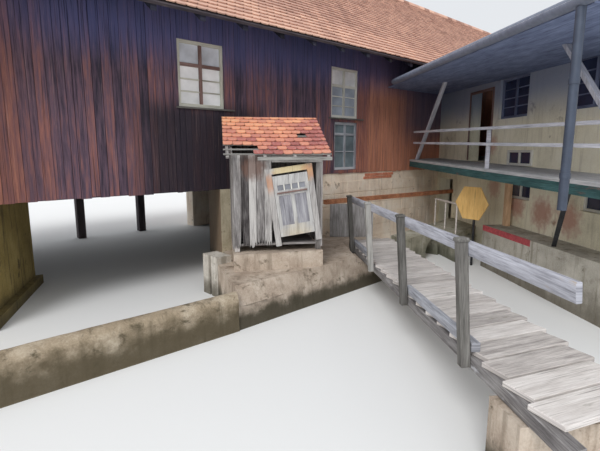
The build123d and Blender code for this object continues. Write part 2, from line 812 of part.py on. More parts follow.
def hinge_leaf(side, z, height):
    """Flat leaf of a hinge beside its pin line, lying on the face of the wood."""
    with BuildPart() as made:
        with BuildSketch(hinge_plan.offset(z)):
            with Locations((hinge_x + side * LEAF_L / 2, -JAMB_THICK - LEAF_THICK / 2)):
                Rectangle(LEAF_L, LEAF_THICK)
        extrude(amount=height)
    return made.part


with BuildPart() as hut_door_frame:
    with BuildSketch(door_plane):
        with Locations((0, DOOR_FRAME_H / 2)):
            Rectangle(DOOR_FRAME_W, DOOR_FRAME_H)
        with Locations((0, (DOOR_FRAME_H - JAMB_W) / 2)):
            Rectangle(DOOR_FRAME_W - 2 * JAMB_W, DOOR_FRAME_H - JAMB_W, mode=Mode.SUBTRACT)
    extrude(amount=JAMB_THICK)
    for z in hinge_heights:
        with BuildSketch(hinge_plan.offset(z - 1.5 * KNUCKLE_H)):
            with Locations((hinge_x, -hinge_out)):
                Circle(HINGE_PIN_R)
        extrude(amount=3 * KNUCKLE_H)
        for lift in (-1.5 * KNUCKLE_H, 0.5 * KNUCKLE_H + HINGE_RUN):
            with BuildSketch(hinge_plan.offset(z + lift)):
                with Locations((hinge_x, -hinge_out)):
                    Circle(HINGE_KNUCKLE_R)
            extrude(amount=KNUCKLE_H - HINGE_RUN)
            add(hinge_leaf(1, z + lift, KNUCKLE_H - HINGE_RUN))
save(hut_door_frame.part, "hut_door_frame")

# Leaf with a row of small lights over a ledge and two sunk panels below
panel_w = (DOOR_W - 3 * STILE_W) / 2
light_w = (DOOR_W - 2 * STILE_W - (LIGHTS - 1) * LIGHT_BAR) / LIGHTS
light_x = [(n - (LIGHTS - 1) / 2) * (light_w + LIGHT_BAR) for n in range(LIGHTS)]
with BuildPart() as hut_door:
    with BuildSketch(door_plane.offset(JAMB_THICK - DOOR_THICK)):
        with Locations((0, DOOR_LIFT + DOOR_H / 2)):
            Rectangle(DOOR_W, DOOR_H)
    extrude(amount=DOOR_THICK)
    with BuildSketch(door_plane.offset(JAMB_THICK)):
        panel_z = DOOR_LIFT + (PANEL_FOOT + PANEL_TOP) / 2
        with Locations(*[(side * (panel_w + STILE_W) / 2, panel_z) for side in (-1, 1)]):
            Rectangle(panel_w, PANEL_TOP - PANEL_FOOT)
        with Locations(*[(x, DOOR_LIFT + (LIGHT_FOOT + LIGHT_TOP) / 2) for x in light_x]):
            Rectangle(light_w, LIGHT_TOP - LIGHT_FOOT)
    extrude(amount=-PANEL_DEEP, mode=Mode.SUBTRACT)
    with BuildSketch(door_plane.offset(JAMB_THICK)):
        with Locations((0, DOOR_LIFT + LEDGE_Z + LEDGE_H / 2)):
            Rectangle(DOOR_W - STILE_W, LEDGE_H)
    extrude(amount=LEDGE_OUT)
    for z in hinge_heights:
        low = z - 0.5 * KNUCKLE_H + HINGE_RUN
        with BuildSketch(hinge_plan.offset(low)):
            with Locations((hinge_x, -hinge_out)):
                Circle(HINGE_KNUCKLE_R)
        extrude(amount=KNUCKLE_H - 2 * HINGE_RUN)
        add(hinge_leaf(-1, low, KNUCKLE_H - 2 * HINGE_RUN))
        with BuildSketch(hinge_plan.offset(low)):
            with Locations((hinge_x, -hinge_out)):
                Circle(HINGE_PIN_R + HINGE_RUN)
        extrude(amount=KNUCKLE_H - 2 * HINGE_RUN, mode=Mode.SUBTRACT)
save(hut_door.part, "hut_door")

# Footbridge: two stringers and skewed planks, posts that lean over the water, a rail and two kerbs
with BuildPart() as bridge_stringers:
    with BuildSketch(BRIDGE.offset(stringer_under)):
        for r in (DECK_OFFSET, deck_right - DECK_LAP - STRINGER_W):
            Polygon(
                (r, near_end(r)),
                (r + STRINGER_W, near_end(r + STRINGER_W)),
                (r + STRINGER_W, far_end(r + STRINGER_W)),
                (r, far_end(r)),
                align=None,
            )
    extrude(amount=STRINGER_H)
save(bridge_stringers.part, "bridge_stringers")
skew_cos = cos(radians(PLANK_SKEW))
skew_sin = sin(radians(PLANK_SKEW))
plank_length = (DECK_W - PLANK_W * skew_sin) / skew_cos
plank_pitch = (PLANK_W + PLANK_GAP) / skew_cos
middle_near = near_end(DECK_OFFSET + DECK_W / 2)
middle_far = far_end(DECK_OFFSET + DECK_W / 2)
plank_count = floor((middle_far - middle_near) / plank_pitch)
with BuildPart() as bridge_planks:
    with BuildSketch(BRIDGE.offset(-PLANK_THICK)):
        stations = [middle_far - (n + 0.5) * plank_pitch for n in range(plank_count)]
        with Locations(*[(DECK_OFFSET + DECK_W / 2, s) for s in stations]):
            Rectangle(plank_length, PLANK_W, rotation=PLANK_SKEW)
    extrude(amount=PLANK_THICK)
save(bridge_planks.part, "bridge_planks")

post_lean = radians(POST_LEAN)
LEANING = Plane(
    origin=BRIDGE.from_local_coords((DECK_OFFSET - SEAT, 0, -POST_DROP)),
    x_dir=BRIDGE.x_dir * cos(post_lean) + BRIDGE.z_dir * sin(post_lean),
    z_dir=BRIDGE.z_dir * cos(post_lean) - BRIDGE.x_dir * sin(post_lean),
)
post_places = [(-POST_SIDE / 2, s) for s in POST_STATIONS]
with BuildPart() as bridge_posts:
    with BuildSketch(LEANING):
        with Locations(*post_places):
            Rectangle(POST_SIDE, POST_SIDE)
    extrude(amount=POST_LENGTH)
    with BuildSketch(LEANING.offset(POST_LENGTH)):
        with Locations(*post_places):
            Rectangle(CAP_SIDE, CAP_SIDE)
    extrude(amount=CAP_H - CAP_EDGE)
    with BuildSketch(LEANING.offset(POST_LENGTH + CAP_H - CAP_EDGE)):
        with Locations(*post_places):
            Rectangle(CAP_SIDE, CAP_SIDE)
    extrude(amount=CAP_EDGE, taper=CAP_TAPER)
save(bridge_posts.part, "bridge_posts")
rail_top = POST_LENGTH - SEAT
save(
    block(
        LEANING,
        SEAT,
        SEAT + RAIL_THICK,
        RAIL_NEAR,
        POST_STATIONS[-1] + RAIL_PAST,
        rail_top - RAIL_H,
        rail_top,
    ),
    "bridge_rail",
)
with BuildPart() as bridge_kerb:
    for s0, s1 in KERB_RUNS:
        add(block(BRIDGE, DECK_OFFSET + SEAT, DECK_OFFSET + SEAT + KERB_W, s0, s1, 0, KERB_H))
save(bridge_kerb.part, "bridge_kerb")
BANK = turned(BRIDGE_X, BRIDGE_Y, BRIDGE_TURN)
with BuildPart() as near_abutment:
    add(
        block(
            BANK,
            DECK_OFFSET - ABUTMENT_OUT,
            deck_right + ABUTMENT_OUT,
            DECK_NEAR + ABUTMENT_L,
            DECK_NEAR + 2 * ABUTMENT_L,
            FOOT,
            DECK_TOP,
        )
    )
    split(bisect_by=BRIDGE.offset(stringer_under - SEAT), keep=Keep.BOTTOM)
save(near_abutment.part, "near_abutment")

# Sluice boards on the plinth
save(
    block(SLUICE, 0, SLUICE_LENGTH, 0, SLUICE_THICK, PLINTH_TOP, SLUICE_TOP),
    "sluice_boards",
)

# Wing with its gallery, set askew against the hall
WING = Plane(
    origin=(WING_CORNER, 0, 0),
    x_dir=(-sin(radians(WING_TURN)), -cos(radians(WING_TURN)), 0),
    z_dir=(0, 0, 1),
)
# Local X runs along the wing towards its free end, local Y runs from the gallery into the wing
wing_side = Plane(origin=WING.origin, x_dir=WING.x_dir, z_dir=-WING.y_dir)
wing_end = Plane(origin=WING.origin, x_dir=WING.y_dir, z_dir=WING.x_dir)
hall_face = Plane.XZ.offset(SEAT)
past_hall = -WING_PAST
far_past_hall = -2 * WING_PAST


def fallen(z, s):
    """Height of a line that falls along the wing."""
    return z - WING_FALL * s


def along(y0, y1, z0, z1, s0, s1, level_foot=False):
    """Member along the wing between two depths, falling with the wing and ending at the hall."""
    low0 = z0 if level_foot else fallen(z0, s0)
    low1 = z0 if level_foot else fallen(z0, s1)
    with BuildPart() as made:
        with BuildSketch(wing_side.offset(-y0)):
            Polygon(
                (s0, low0),
                (s1, low1),
                (s1, fallen(z1, s1)),
                (s0, fallen(z1, s0)),
                align=None,
            )
        extrude(amount=-(y1 - y0))
        split(bisect_by=hall_face, keep=Keep.TOP)
    return made.part


def under_eaves(reach=0.0):
    """Space that the hall's eaves take up over the wing, with room below them."""
    near = -EAVES_OUT - EAVES_CLEAR
    low = soffit(-EAVES_OUT) - UNDER_EAVES_CLEAR
    with BuildPart() as made:
        with BuildSketch(Plane(origin=(0, 0, 0), x_dir=(0, 1, 0), z_dir=(1, 0, 0))):
            Polygon(
                (near, low - reach),
                (HALF_WIDTH, low - reach),
                (HALF_WIDTH, soffit(HALF_WIDTH) + drop + TILES_CLEAR),
                (near, soffit(near) + drop + TILES_CLEAR),
                align=None,
            )
        extrude(amount=HALL_RIGHT)
    return made.part


wing_slope = tan(radians(WING_PITCH))
ridge_y = (WING_DEPTH + WING_EAVES_BACK - GUTTER_OUT) / 2
ridge_top = GUTTER_Z + (ridge_y + GUTTER_OUT) * wing_slope


def wing_soffit_z(y):
    """Height of the underside of the wing roof at the hall end."""
    inward = y + GUTTER_OUT if y <= ridge_y else WING_DEPTH + WING_EAVES_BACK - y
    return GUTTER_Z + inward * wing_slope


eaves_room = under_eaves()
roof_room = under_eaves(ROOF_CUT)
# The gallery wall is split left of, under, over and right of the gallery doorway
wall_top = wing_soffit_z(0)
door_left = WING_DOOR_S - WING_DOOR_W / 2
door_right = WING_DOOR_S + WING_DOOR_W / 2
door_head = GALLERY_FLOOR + WING_DOOR_H
with BuildPart() as wing_wall_left:
    add(along(0, WING_WALL, FOOT, wall_top, past_hall, door_left, level_foot=True))
    with BuildSketch(wing_side):
        with Locations((LOW_DOOR_S, LOW_DOOR_H / 2)):
            Rectangle(LOW_DOOR_W, LOW_DOOR_H)
    extrude(amount=-WING_WALL, mode=Mode.SUBTRACT)
    add(eaves_room, mode=Mode.SUBTRACT)
save(wing_wall_left.part, "wing_wall_left")
save(
    along(0, WING_WALL, FOOT, GALLERY_FLOOR, door_left, door_right, level_foot=True),
    "wing_wall_under_door",
)
save(along(0, WING_WALL, door_head, wall_top, door_left, door_right), "wing_wall_over_door")
with BuildPart() as wing_wall_right:
    add(along(0, WING_WALL, FOOT, wall_top, door_right, WING_LENGTH, level_foot=True))
    with BuildSketch(wing_side):
        with Locations(*[(x, UPPER_WINDOW_Z + UPPER_WINDOW_H / 2) for x in UPPER_WINDOW_S]):
            Rectangle(UPPER_WINDOW_W, UPPER_WINDOW_H)
        with Locations(*[(x, LOW_WINDOW_Z + LOW_WINDOW_H / 2) for x in LOW_WINDOW_S]):
            Rectangle(LOW_WINDOW_W, LOW_WINDOW_H)
    extrude(amount=-WING_WALL, mode=Mode.SUBTRACT)
save(wing_wall_right.part, "wing_wall_right")
with BuildPart() as wing_back_wall:
    back_y = WING_DEPTH - WING_WALL
    back_top = wing_soffit_z(WING_DEPTH)
    add(along(back_y, WING_DEPTH, FOOT, back_top, far_past_hall, WING_LENGTH, level_foot=True))
    with BuildSketch(wing_side.offset(-back_y)):
        with Locations(*[(x, UPPER_WINDOW_Z + UPPER_WINDOW_H / 2) for x in UPPER_WINDOW_S]):
            Rectangle(UPPER_WINDOW_W, UPPER_WINDOW_H)
    extrude(amount=-WING_WALL, mode=Mode.SUBTRACT)
    add(eaves_room, mode=Mode.SUBTRACT)
save(wing_back_wall.part, "wing_back_wall")
with BuildPart() as wing_end_wall:
    with BuildSketch(wing_end.offset(WING_LENGTH - WING_WALL)):
        end_fall = WING_FALL * WING_LENGTH
        Polygon(
            (WING_WALL, 0),
            (WING_DEPTH - WING_WALL, 0),
            (WING_DEPTH - WING_WALL, wing_soffit_z(WING_DEPTH - WING_WALL) - end_fall),
            (ridge_y, ridge_top - end_fall),
            (WING_WALL, wing_soffit_z(WING_WALL) - end_fall),
            align=None,
        )
    extrude(amount=WING_WALL)
save(wing_end_wall.part, "wing_end_wall")
save(
    along(
        WING_WALL,
        WING_DEPTH - WING_WALL,
        GALLERY_FLOOR - WING_FLOOR_THICK,
        GALLERY_FLOOR,
        far_past_hall,
        WING_LENGTH - WING_WALL,
    ),
    "wing_floor",
)

roof_drop = WING_ROOF_THICK / cos(radians(WING_PITCH))
run_dir = Vector(*WING.x_dir) - Vector(0, 0, WING_FALL)
verge_s = WING_LENGTH + WING_VERGE_OUT
for name, y_low in (("wing_roof_front", -GUTTER_OUT), ("wing_roof_back", WING_DEPTH + WING_EAVES_BACK)):
    with BuildPart() as wing_roof:
        with BuildSketch(wing_end.offset(far_past_hall)):
            lift = -WING_FALL * far_past_hall
            Polygon(
                (y_low, GUTTER_Z + lift),
                (ridge_y, ridge_top + lift),
                (ridge_y, ridge_top + roof_drop + lift),
                (y_low, GUTTER_Z + roof_drop + lift),
                align=None,
            )
        extrude(amount=(verge_s - far_past_hall) * run_dir.length, dir=run_dir.normalized())
        add(roof_room, mode=Mode.SUBTRACT)
        split(bisect_by=Plane.XZ.offset(-HALF_WIDTH + RIDGE_PAST), keep=Keep.TOP)
    save(wing_roof.part, name)
with BuildPart() as wing_soffit:
    add(
        along(
            -GUTTER_OUT + SOFFIT_IN,
            -SEAT,
            GUTTER_Z - SOFFIT_THICK - SEAT,
            GUTTER_Z - SEAT,
            past_hall,
            WING_LENGTH,
        )
    )
    add(eaves_room, mode=Mode.SUBTRACT)
save(wing_soffit.part, "wing_soffit")
gutter_z = fallen(GUTTER_Z, GUTTER_START) + GUTTER_RISE
with BuildPart() as wing_gutter:
    with BuildSketch(wing_end.offset(GUTTER_START)):
        with Locations((-GUTTER_OUT - GUTTER_R - SEAT, gutter_z)):
            Circle(GUTTER_R)
            Circle(GUTTER_R - GUTTER_WALL, mode=Mode.SUBTRACT)
        split(
            bisect_by=Plane(
                origin=wing_end.offset(GUTTER_START).from_local_coords((0, gutter_z, 0)),
                z_dir=(0, 0, -1),
            ),
            keep=Keep.TOP,
        )
    extrude(amount=(verge_s - GUTTER_START) * run_dir.length, dir=run_dir.normalized())
save(wing_gutter.part, "wing_gutter")
with BuildPart() as downpipe:
    pipe_s = WING_LENGTH - DOWNPIPE_R
    with BuildSketch(WING.offset(DOWNPIPE_FOOT)):
        with Locations((pipe_s, -GUTTER_OUT - GUTTER_R - SEAT)):
            Circle(DOWNPIPE_R)
            Circle(DOWNPIPE_R - PIPE_WALL, mode=Mode.SUBTRACT)
    extrude(amount=fallen(GUTTER_Z, pipe_s + DOWNPIPE_R) + GUTTER_RISE - GUTTER_R - SEAT - DOWNPIPE_FOOT)
save(downpipe.part, "downpipe")

# Gallery floor, its edge beam, joists, rails and struts
floor_under = GALLERY_FLOOR - GALLERY_FLOOR_THICK
save(along(-GALLERY_DEPTH, -SEAT, floor_under, GALLERY_FLOOR, past_hall, WING_LENGTH), "gallery_floor")
with BuildPart() as gallery_frame:
    add(
        along(
            -GALLERY_DEPTH,
            -GALLERY_DEPTH + GALLERY_BEAM_W,
            floor_under - GALLERY_BEAM_H,
            floor_under,
            past_hall,
            WING_LENGTH,
        )
    )
    joist_pitch = (WING_LENGTH - JOIST_END - JOIST_FIRST) / (JOIST_COUNT - 1)
    for n in range(JOIST_COUNT):
        s = JOIST_FIRST + joist_pitch * n
        with BuildSketch(wing_end.offset(s)):
            top = fallen(floor_under, s + JOIST_W)
            with Locations((-(GALLERY_DEPTH - GALLERY_BEAM_W + SEAT) / 2 - SEAT, top - JOIST_H / 2)):
                Rectangle(GALLERY_DEPTH - GALLERY_BEAM_W + SEAT, JOIST_H)
        extrude(amount=JOIST_W)
save(gallery_frame.part, "gallery_frame")
rail_y = -GALLERY_DEPTH + GALLERY_RAIL_W
with BuildPart() as gallery_railing:
    for height in (TOP_RAIL, LOW_RAIL):
        top = GALLERY_FLOOR + height
        add(along(rail_y - GALLERY_RAIL_W, rail_y, top - GALLERY_RAIL_H, top, RAIL_START, WING_LENGTH))
    for s in (GALLERY_POST_S, WING_LENGTH - GALLERY_POST_END):
        with BuildSketch(wing_end.offset(s)):
            with Locations((rail_y + GALLERY_RAIL_W / 2, fallen(GALLERY_FLOOR, s) + TOP_RAIL / 2)):
                Rectangle(GALLERY_POST, TOP_RAIL)
        extrude(amount=GALLERY_POST)
save(gallery_railing.part, "gallery_railing")
soffit_under = GUTTER_Z - SOFFIT_THICK - 2 * SEAT
strut_y = GALLERY_DEPTH - GALLERY_RAIL_W - GALLERY_POST - STRUT_SIDE - SEAT
with BuildPart() as gallery_struts:
    for s_foot, s_head in (
        (STRUT_FOOT, STRUT_FOOT + STRUT_RUN),
        (WING_LENGTH - STRUT_END, WING_LENGTH - STRUT_END - STRUT_RUN),
    ):
        with BuildSketch(wing_side.offset(strut_y)):
            Polygon(
                (s_foot - STRUT_SIDE / 2, fallen(GALLERY_FLOOR, s_foot - STRUT_SIDE / 2) + SEAT),
                (s_foot + STRUT_SIDE / 2, fallen(GALLERY_FLOOR, s_foot + STRUT_SIDE / 2) + SEAT),
                (s_head + STRUT_SIDE / 2, fallen(soffit_under, s_head + STRUT_SIDE / 2)),
                (s_head - STRUT_SIDE / 2, fallen(soffit_under, s_head - STRUT_SIDE / 2)),
                align=None,
            )
        extrude(amount=STRUT_SIDE)
save(gallery_struts.part, "gallery_struts")

# Steel beam from the sluice boards to the wing wall
BEAM = turned(SLUICE_X - BEAM_W, SLUICE_Y, BEAM_TURN)
with BuildPart() as steel_beam:
    with BuildSketch(BEAM.offset(SLUICE_TOP)):
        with Locations((BEAM_REACH / 2, BEAM_W / 2)):
            Rectangle(BEAM_REACH, BEAM_W)
    extrude(amount=BEAM_H)
    split(bisect_by=wing_side.offset(SEAT), keep=Keep.TOP)
save(steel_beam.part, "steel_beam")

# Walkway below the gallery, a post on it and a raking steel brace
save(block(WING, WALKWAY_LEFT, WING_LENGTH, -WALKWAY_OUT, -SEAT, FOOT, WALKWAY_TOP), "walkway")
rake_foot = WING.from_local_coords((RAKE_FOOT_S, -RAKE_FOOT_OUT, 0))
rake_head = WING.from_local_coords((RAKE_HEAD_S, -GALLERY_DEPTH + GALLERY_BEAM_W / 2, 0))
rake_run = rake_head - rake_foot
rake_plane = Plane(origin=rake_foot, x_dir=rake_run, z_dir=rake_run.cross(Vector(0, 0, 1)))
beam_under = floor_under - GALLERY_BEAM_H
with BuildPart() as gallery_props:
    with BuildSketch(WING.offset(WALKWAY_TOP)):
        with Locations((PROP_S, -PROP_OUT)):
            Rectangle(PROP_W, PROP_D)
    extrude(amount=fallen(floor_under, PROP_S + PROP_W / 2) - SEAT - WALKWAY_TOP)
    with BuildSketch(rake_plane.offset(-RAKE_SIDE / 2)):
        reach = rake_run.length
        Polygon(
            (-RAKE_SIDE, WALKWAY_TOP),
            (0, WALKWAY_TOP),
            (reach + RAKE_SIDE / 2, fallen(beam_under, RAKE_HEAD_S + RAKE_SIDE) - SEAT),
            (reach - RAKE_SIDE / 2, fallen(beam_under, RAKE_HEAD_S + RAKE_SIDE) - SEAT),
            align=None,
        )
    extrude(amount=RAKE_SIDE)
save(gallery_props.part, "gallery_props")


def wing_window(s, width, z, height, y_face):
    """Dark fixed window in the wing wall, with a mullion."""
    with BuildPart() as made:
        with BuildSketch(wing_side.offset(-y_face)):
            with Locations((s, z + height / 2)):
                Rectangle(width, height)
            light = (width - 3 * FRAME_FACE) / 2
            for side in (-1, 1):
                with Locations((s + side * (light + FRAME_FACE) / 2, z + height / 2)):
                    Rectangle(light, height - 2 * FRAME_FACE, mode=Mode.SUBTRACT)
        extrude(amount=-FRAME_DEPTH)
        with BuildSketch(wing_side.offset(-y_face - FRAME_DEPTH / 2)):
            with Locations((s, z + height / 2)):
                Rectangle(width - FRAME_FACE, height - FRAME_FACE)
        extrude(amount=-GLASS_THICK)
    return made.part


with BuildPart() as wing_windows:
    for s in UPPER_WINDOW_S:
        for y_face in (WING_WINDOW_INSET, WING_DEPTH - WING_WINDOW_INSET - FRAME_DEPTH):
            add(wing_window(s, UPPER_WINDOW_W, UPPER_WINDOW_Z, UPPER_WINDOW_H, y_face))
    for s in LOW_WINDOW_S:
        add(wing_window(s, LOW_WINDOW_W, LOW_WINDOW_Z, LOW_WINDOW_H, WING_WINDOW_INSET))
save(wing_windows.part, "wing_windows")

# Culvert: a wall between plinth and wing with a landing in front of it, both over arches
CULVERT = turned(CULVERT_X, CULVERT_Y, CULVERT_TURN)
culvert_face = Plane(origin=CULVERT.origin, x_dir=CULVERT.x_dir, z_dir=-CULVERT.y_dir)
plinth_right = Plane(
    origin=(PLINTH_RIGHT, PLINTH_RIGHT_Y, 0),
    x_dir=(right_back[0] - PLINTH_RIGHT, right_back[1] - PLINTH_RIGHT_Y, 0),
    z_dir=(right_back[1] - PLINTH_RIGHT_Y, PLINTH_RIGHT - right_back[0], 0),
)
with BuildPart() as culvert:
    with BuildSketch(CULVERT):
        Polygon(
            (0, 0),
            LANDING_JOIN,
            LANDING_CORNER,
            LANDING_END,
            (CULVERT_REACH, CULVERT_D),
            (0, CULVERT_D),
            align=None,
        )
    extrude(amount=CULVERT_TOP)
    for start_y, (x, radius, spring) in (
        (0.0, WALL_ARCH),
        (LANDING_CORNER[1] - LANDING_ROOM, LANDING_ARCH),
    ):
        with BuildSketch(culvert_face.offset(-start_y)):
            with Locations((x, spring / 2)):
                Rectangle(2 * radius, spring)
            with Locations((x, spring)):
                Circle(radius)
        extrude(amount=start_y - CULVERT_D, mode=Mode.SUBTRACT)
    split(bisect_by=plinth_right.offset(SEAT), keep=Keep.TOP)
    split(bisect_by=wing_side.offset(SEAT), keep=Keep.TOP)
    add(bridge_seat.part, mode=Mode.SUBTRACT)
save(culvert.part, "culvert")

rail_run = CULVERT.from_local_coords(RAILING_TO) - CULVERT.from_local_coords(RAILING_FROM)
RAILING = Plane(origin=CULVERT.from_local_coords(RAILING_FROM), x_dir=rail_run, z_dir=(0, 0, 1))
railing_end = Plane(origin=RAILING.origin, x_dir=RAILING.y_dir, z_dir=RAILING.x_dir)
with BuildPart() as culvert_railing:
    with BuildSketch(RAILING.offset(CULVERT_TOP)):
        posts = [rail_run.length * n / (RAILING_POSTS - 1) for n in range(RAILING_POSTS)]
        with Locations(*[(x, 0) for x in posts]):
            Circle(RAILING_R)
    extrude(amount=RAILING_H)
    with BuildSketch(railing_end.offset(-TOP_TUBE_R)):
        with Locations((0, CULVERT_TOP + RAILING_H)):
            Circle(TOP_TUBE_R)
    extrude(amount=rail_run.length + 2 * TOP_TUBE_R)
save(culvert_railing.part, "culvert_railing")

# Hexagonal board on its own post, its side against the end of the railing
BOARD = turned(BOARD_X, BOARD_Y, BOARD_TURN)
board_face = Plane(origin=BOARD.origin, x_dir=BOARD.x_dir, z_dir=-BOARD.y_dir)
with BuildPart() as hexagon_board:
    with BuildSketch(board_face):
        with Locations((0, BOARD_Z)):
            RegularPolygon(radius=BOARD_R, side_count=6)
    extrude(amount=BOARD_THICK)
    with BuildSketch(board_face):
        with Locations((BOARD_POST_X, BOARD_Z / 2)):
            Rectangle(BOARD_POST, BOARD_Z)
    extrude(amount=-BOARD_POST)
save(hexagon_board.part, "hexagon_board")
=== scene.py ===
import math
import random

import bmesh
import bpy
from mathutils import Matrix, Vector, noise


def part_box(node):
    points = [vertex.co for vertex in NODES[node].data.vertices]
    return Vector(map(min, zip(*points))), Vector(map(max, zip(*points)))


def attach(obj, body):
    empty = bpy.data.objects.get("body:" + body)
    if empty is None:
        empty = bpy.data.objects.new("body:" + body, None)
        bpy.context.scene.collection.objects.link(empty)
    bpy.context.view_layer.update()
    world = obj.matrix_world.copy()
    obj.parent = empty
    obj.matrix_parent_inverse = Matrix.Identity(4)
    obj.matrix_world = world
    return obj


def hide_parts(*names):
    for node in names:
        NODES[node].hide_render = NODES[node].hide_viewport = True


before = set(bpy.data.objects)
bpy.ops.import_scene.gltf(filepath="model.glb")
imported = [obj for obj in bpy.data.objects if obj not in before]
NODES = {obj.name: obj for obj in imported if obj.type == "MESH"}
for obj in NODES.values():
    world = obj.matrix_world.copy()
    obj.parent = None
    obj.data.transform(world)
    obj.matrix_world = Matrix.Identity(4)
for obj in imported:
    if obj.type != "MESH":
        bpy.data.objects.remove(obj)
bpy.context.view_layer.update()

# Camera, as solved from the photograph's vanishing points, in metres and degrees
EYE = (-5.0, -7.6, 2.6)
BEARING = 42.2
PITCH = 9.5
FOCAL_PX = 445.0
FRAME_W = 600
SENSOR = 36.0

# Hall, in metres, as in the frame
HALL_LEFT = -6.5
HALL_LENGTH = 24.5
HALL_RIGHT = HALL_LEFT + HALL_LENGTH
HALL_WIDTH = 6.8
EAVES_OUT = 1.0
VERGE_OUT = 0.25
ROOF_PITCH = math.radians(38.6)
EAVES_Z = 4.71
ROOF_THICK = 0.09
HALL_SILL = 1.85
MASONRY_TOP = 2.05
STEP_X = 2.0
WINDOW_W = 0.96
WINDOW_H = 1.17
WINDOW_SILL = 3.4
WINDOW_PITCH = 3.94
WINDOW_FIRST = -1.06
HATCH_X = 3.42
HATCH_W = 0.84
HATCH_SILL = 2.14
HATCH_H = 1.16
WINDOW_INSET = 0.015

# Wing
WING_CORNER = 7.8
WING_TURN = math.radians(37.2)
WING_FALL = 0.023
WING_DEPTH = 3.6
WING_ROOF_OUT = 2.2
WING_ROOF_BACK = 3.95
WING_EAVES_Z = 4.335

RNG = random.Random(7)


def bearing(turn):
    """Unit vectors to the right and away, for a plan turned clockwise."""
    a = math.radians(turn)
    return Vector((math.cos(a), -math.sin(a), 0)), Vector((math.sin(a), math.cos(a), 0))


UP = Vector((0, 0, 1))
EAST = Vector((1, 0, 0))
NORTH = Vector((0, 1, 0))
WING_ALONG = Vector((-math.sin(WING_TURN), -math.cos(WING_TURN), 0))
WING_IN = Vector((math.cos(WING_TURN), -math.sin(WING_TURN), 0))
HUT_RIGHT, HUT_AWAY = bearing(32.0)
HUT_AT = Vector((-0.852, -1.372, 0))
HUT_PITCH = math.radians(28.0)
DOOR_LEAN = math.radians(8.0)
DOOR_X = HUT_RIGHT * math.cos(DOOR_LEAN) + UP * math.sin(DOOR_LEAN)
DOOR_UP = UP * math.cos(DOOR_LEAN) - HUT_RIGHT * math.sin(DOOR_LEAN)


def wing_point(s, t, z):
    return Vector((WING_CORNER, 0, z)) + WING_ALONG * s + WING_IN * t


def hut_point(x, y, z):
    return HUT_AT + HUT_RIGHT * x + HUT_AWAY * y + UP * z


def door_point(u, v, out):
    """Place on the leaning door: across, up and outward from the middle of its sill."""
    return hut_point(1.105, -0.0263, 1.04) + DOOR_X * u + DOOR_UP * v - HUT_AWAY * out


class Shape:
    """Collects faces with a grain UV in metres and a tone for each face."""

    def __init__(self):
        self.points, self.faces, self.uvs, self.tones = [], [], [], []

    def solid(self, points, faces, along, tone):
        """Closed solid given by shared points; the grain runs along a direction."""
        start = len(self.points)
        self.points.extend(points)
        shift = (RNG.uniform(0, 50), RNG.uniform(0, 50))
        for face in faces:
            corners = [points[i] for i in face]
            normal = (corners[1] - corners[0]).cross(corners[2] - corners[0])
            across = normal.cross(along)
            across = across.normalized() if across.length > 1e-9 else UP.cross(along)
            self.faces.append([start + i for i in face])
            self.uvs.extend([(c.dot(along) + shift[0], c.dot(across) + shift[1]) for c in corners])
            self.tones.append(tone)

    def board(self, corner, a, b, c, tone):
        """Board from its lowest corner along three edge vectors, the first one along the grain."""
        o = Vector(corner)
        if a.cross(b).dot(c) < 0:
            o, b = o + b, -b
        points = [o, o + a, o + a + b, o + b, o + c, o + a + c, o + a + b + c, o + b + c]
        faces = [(0, 3, 2, 1), (4, 5, 6, 7), (0, 1, 5, 4), (1, 2, 6, 5), (2, 3, 7, 6), (3, 0, 4, 7)]
        self.solid(points, faces, a.normalized(), tone)

    def slat(self, corner, a, b, thick, tone):
        """Board with its grain along the longer of two edge vectors."""
        length, width = (b, a) if b.length > a.length else (a, b)
        self.board(corner, length, width, thick, tone)

    def prism(self, outline, depth, along, tone):
        """Solid between an outline and its copy moved by a depth vector."""
        count = len(outline)
        base = list(outline)
        area = sum((base[i].cross(base[(i + 1) % count]) for i in range(count)), Vector())
        if area.dot(depth) > 0:
            base.reverse()
        points = base + [p + depth for p in base]
        faces = [tuple(range(count)), tuple(range(2 * count - 1, count - 1, -1))]
        faces += [(i, i + count, (i + 1) % count + count, (i + 1) % count) for i in range(count)]
        self.solid(points, faces, along.normalized(), tone)

    def make(self, name, look, slot, body="building", replaces=(), bevel=0.0):
        mesh = bpy.data.meshes.new(name)
        mesh.from_pydata([tuple(p) for p in self.points], [], self.faces)
        layer = mesh.uv_layers.new(name="grain")
        for item, uv in zip(layer.data, self.uvs):
            item.uv = uv
        tone = mesh.attributes.new("tone", "FLOAT", "FACE")
        tone.data.foreach_set("value", self.tones)
        mesh.materials.append(MAT[look])
        place(add(name, mesh), body, replaces, bevel)


def add(name, data):
    """New object in the scene."""
    made = bpy.data.objects.new(name, data)
    bpy.context.scene.collection.objects.link(made)
    return made


def place(piece, body, replaces, bevel):
    """Bevel a piece's sharp edges, hang it on its body, and hide the frame nodes it replaces."""
    if bevel:
        modifier = piece.modifiers.new("edges", "BEVEL")
        modifier.width = bevel
        modifier.limit_method = "ANGLE"
        modifier.angle_limit = math.radians(35)
        bpy.context.view_layer.update()
        graph = bpy.context.evaluated_depsgraph_get()
        mesh = bpy.data.meshes.new_from_object(piece.evaluated_get(graph))
        piece.modifiers.clear()
        piece.data = mesh
    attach(piece, body)
    if replaces:
        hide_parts(*replaces)
    return piece


# Materials

MAT = {}


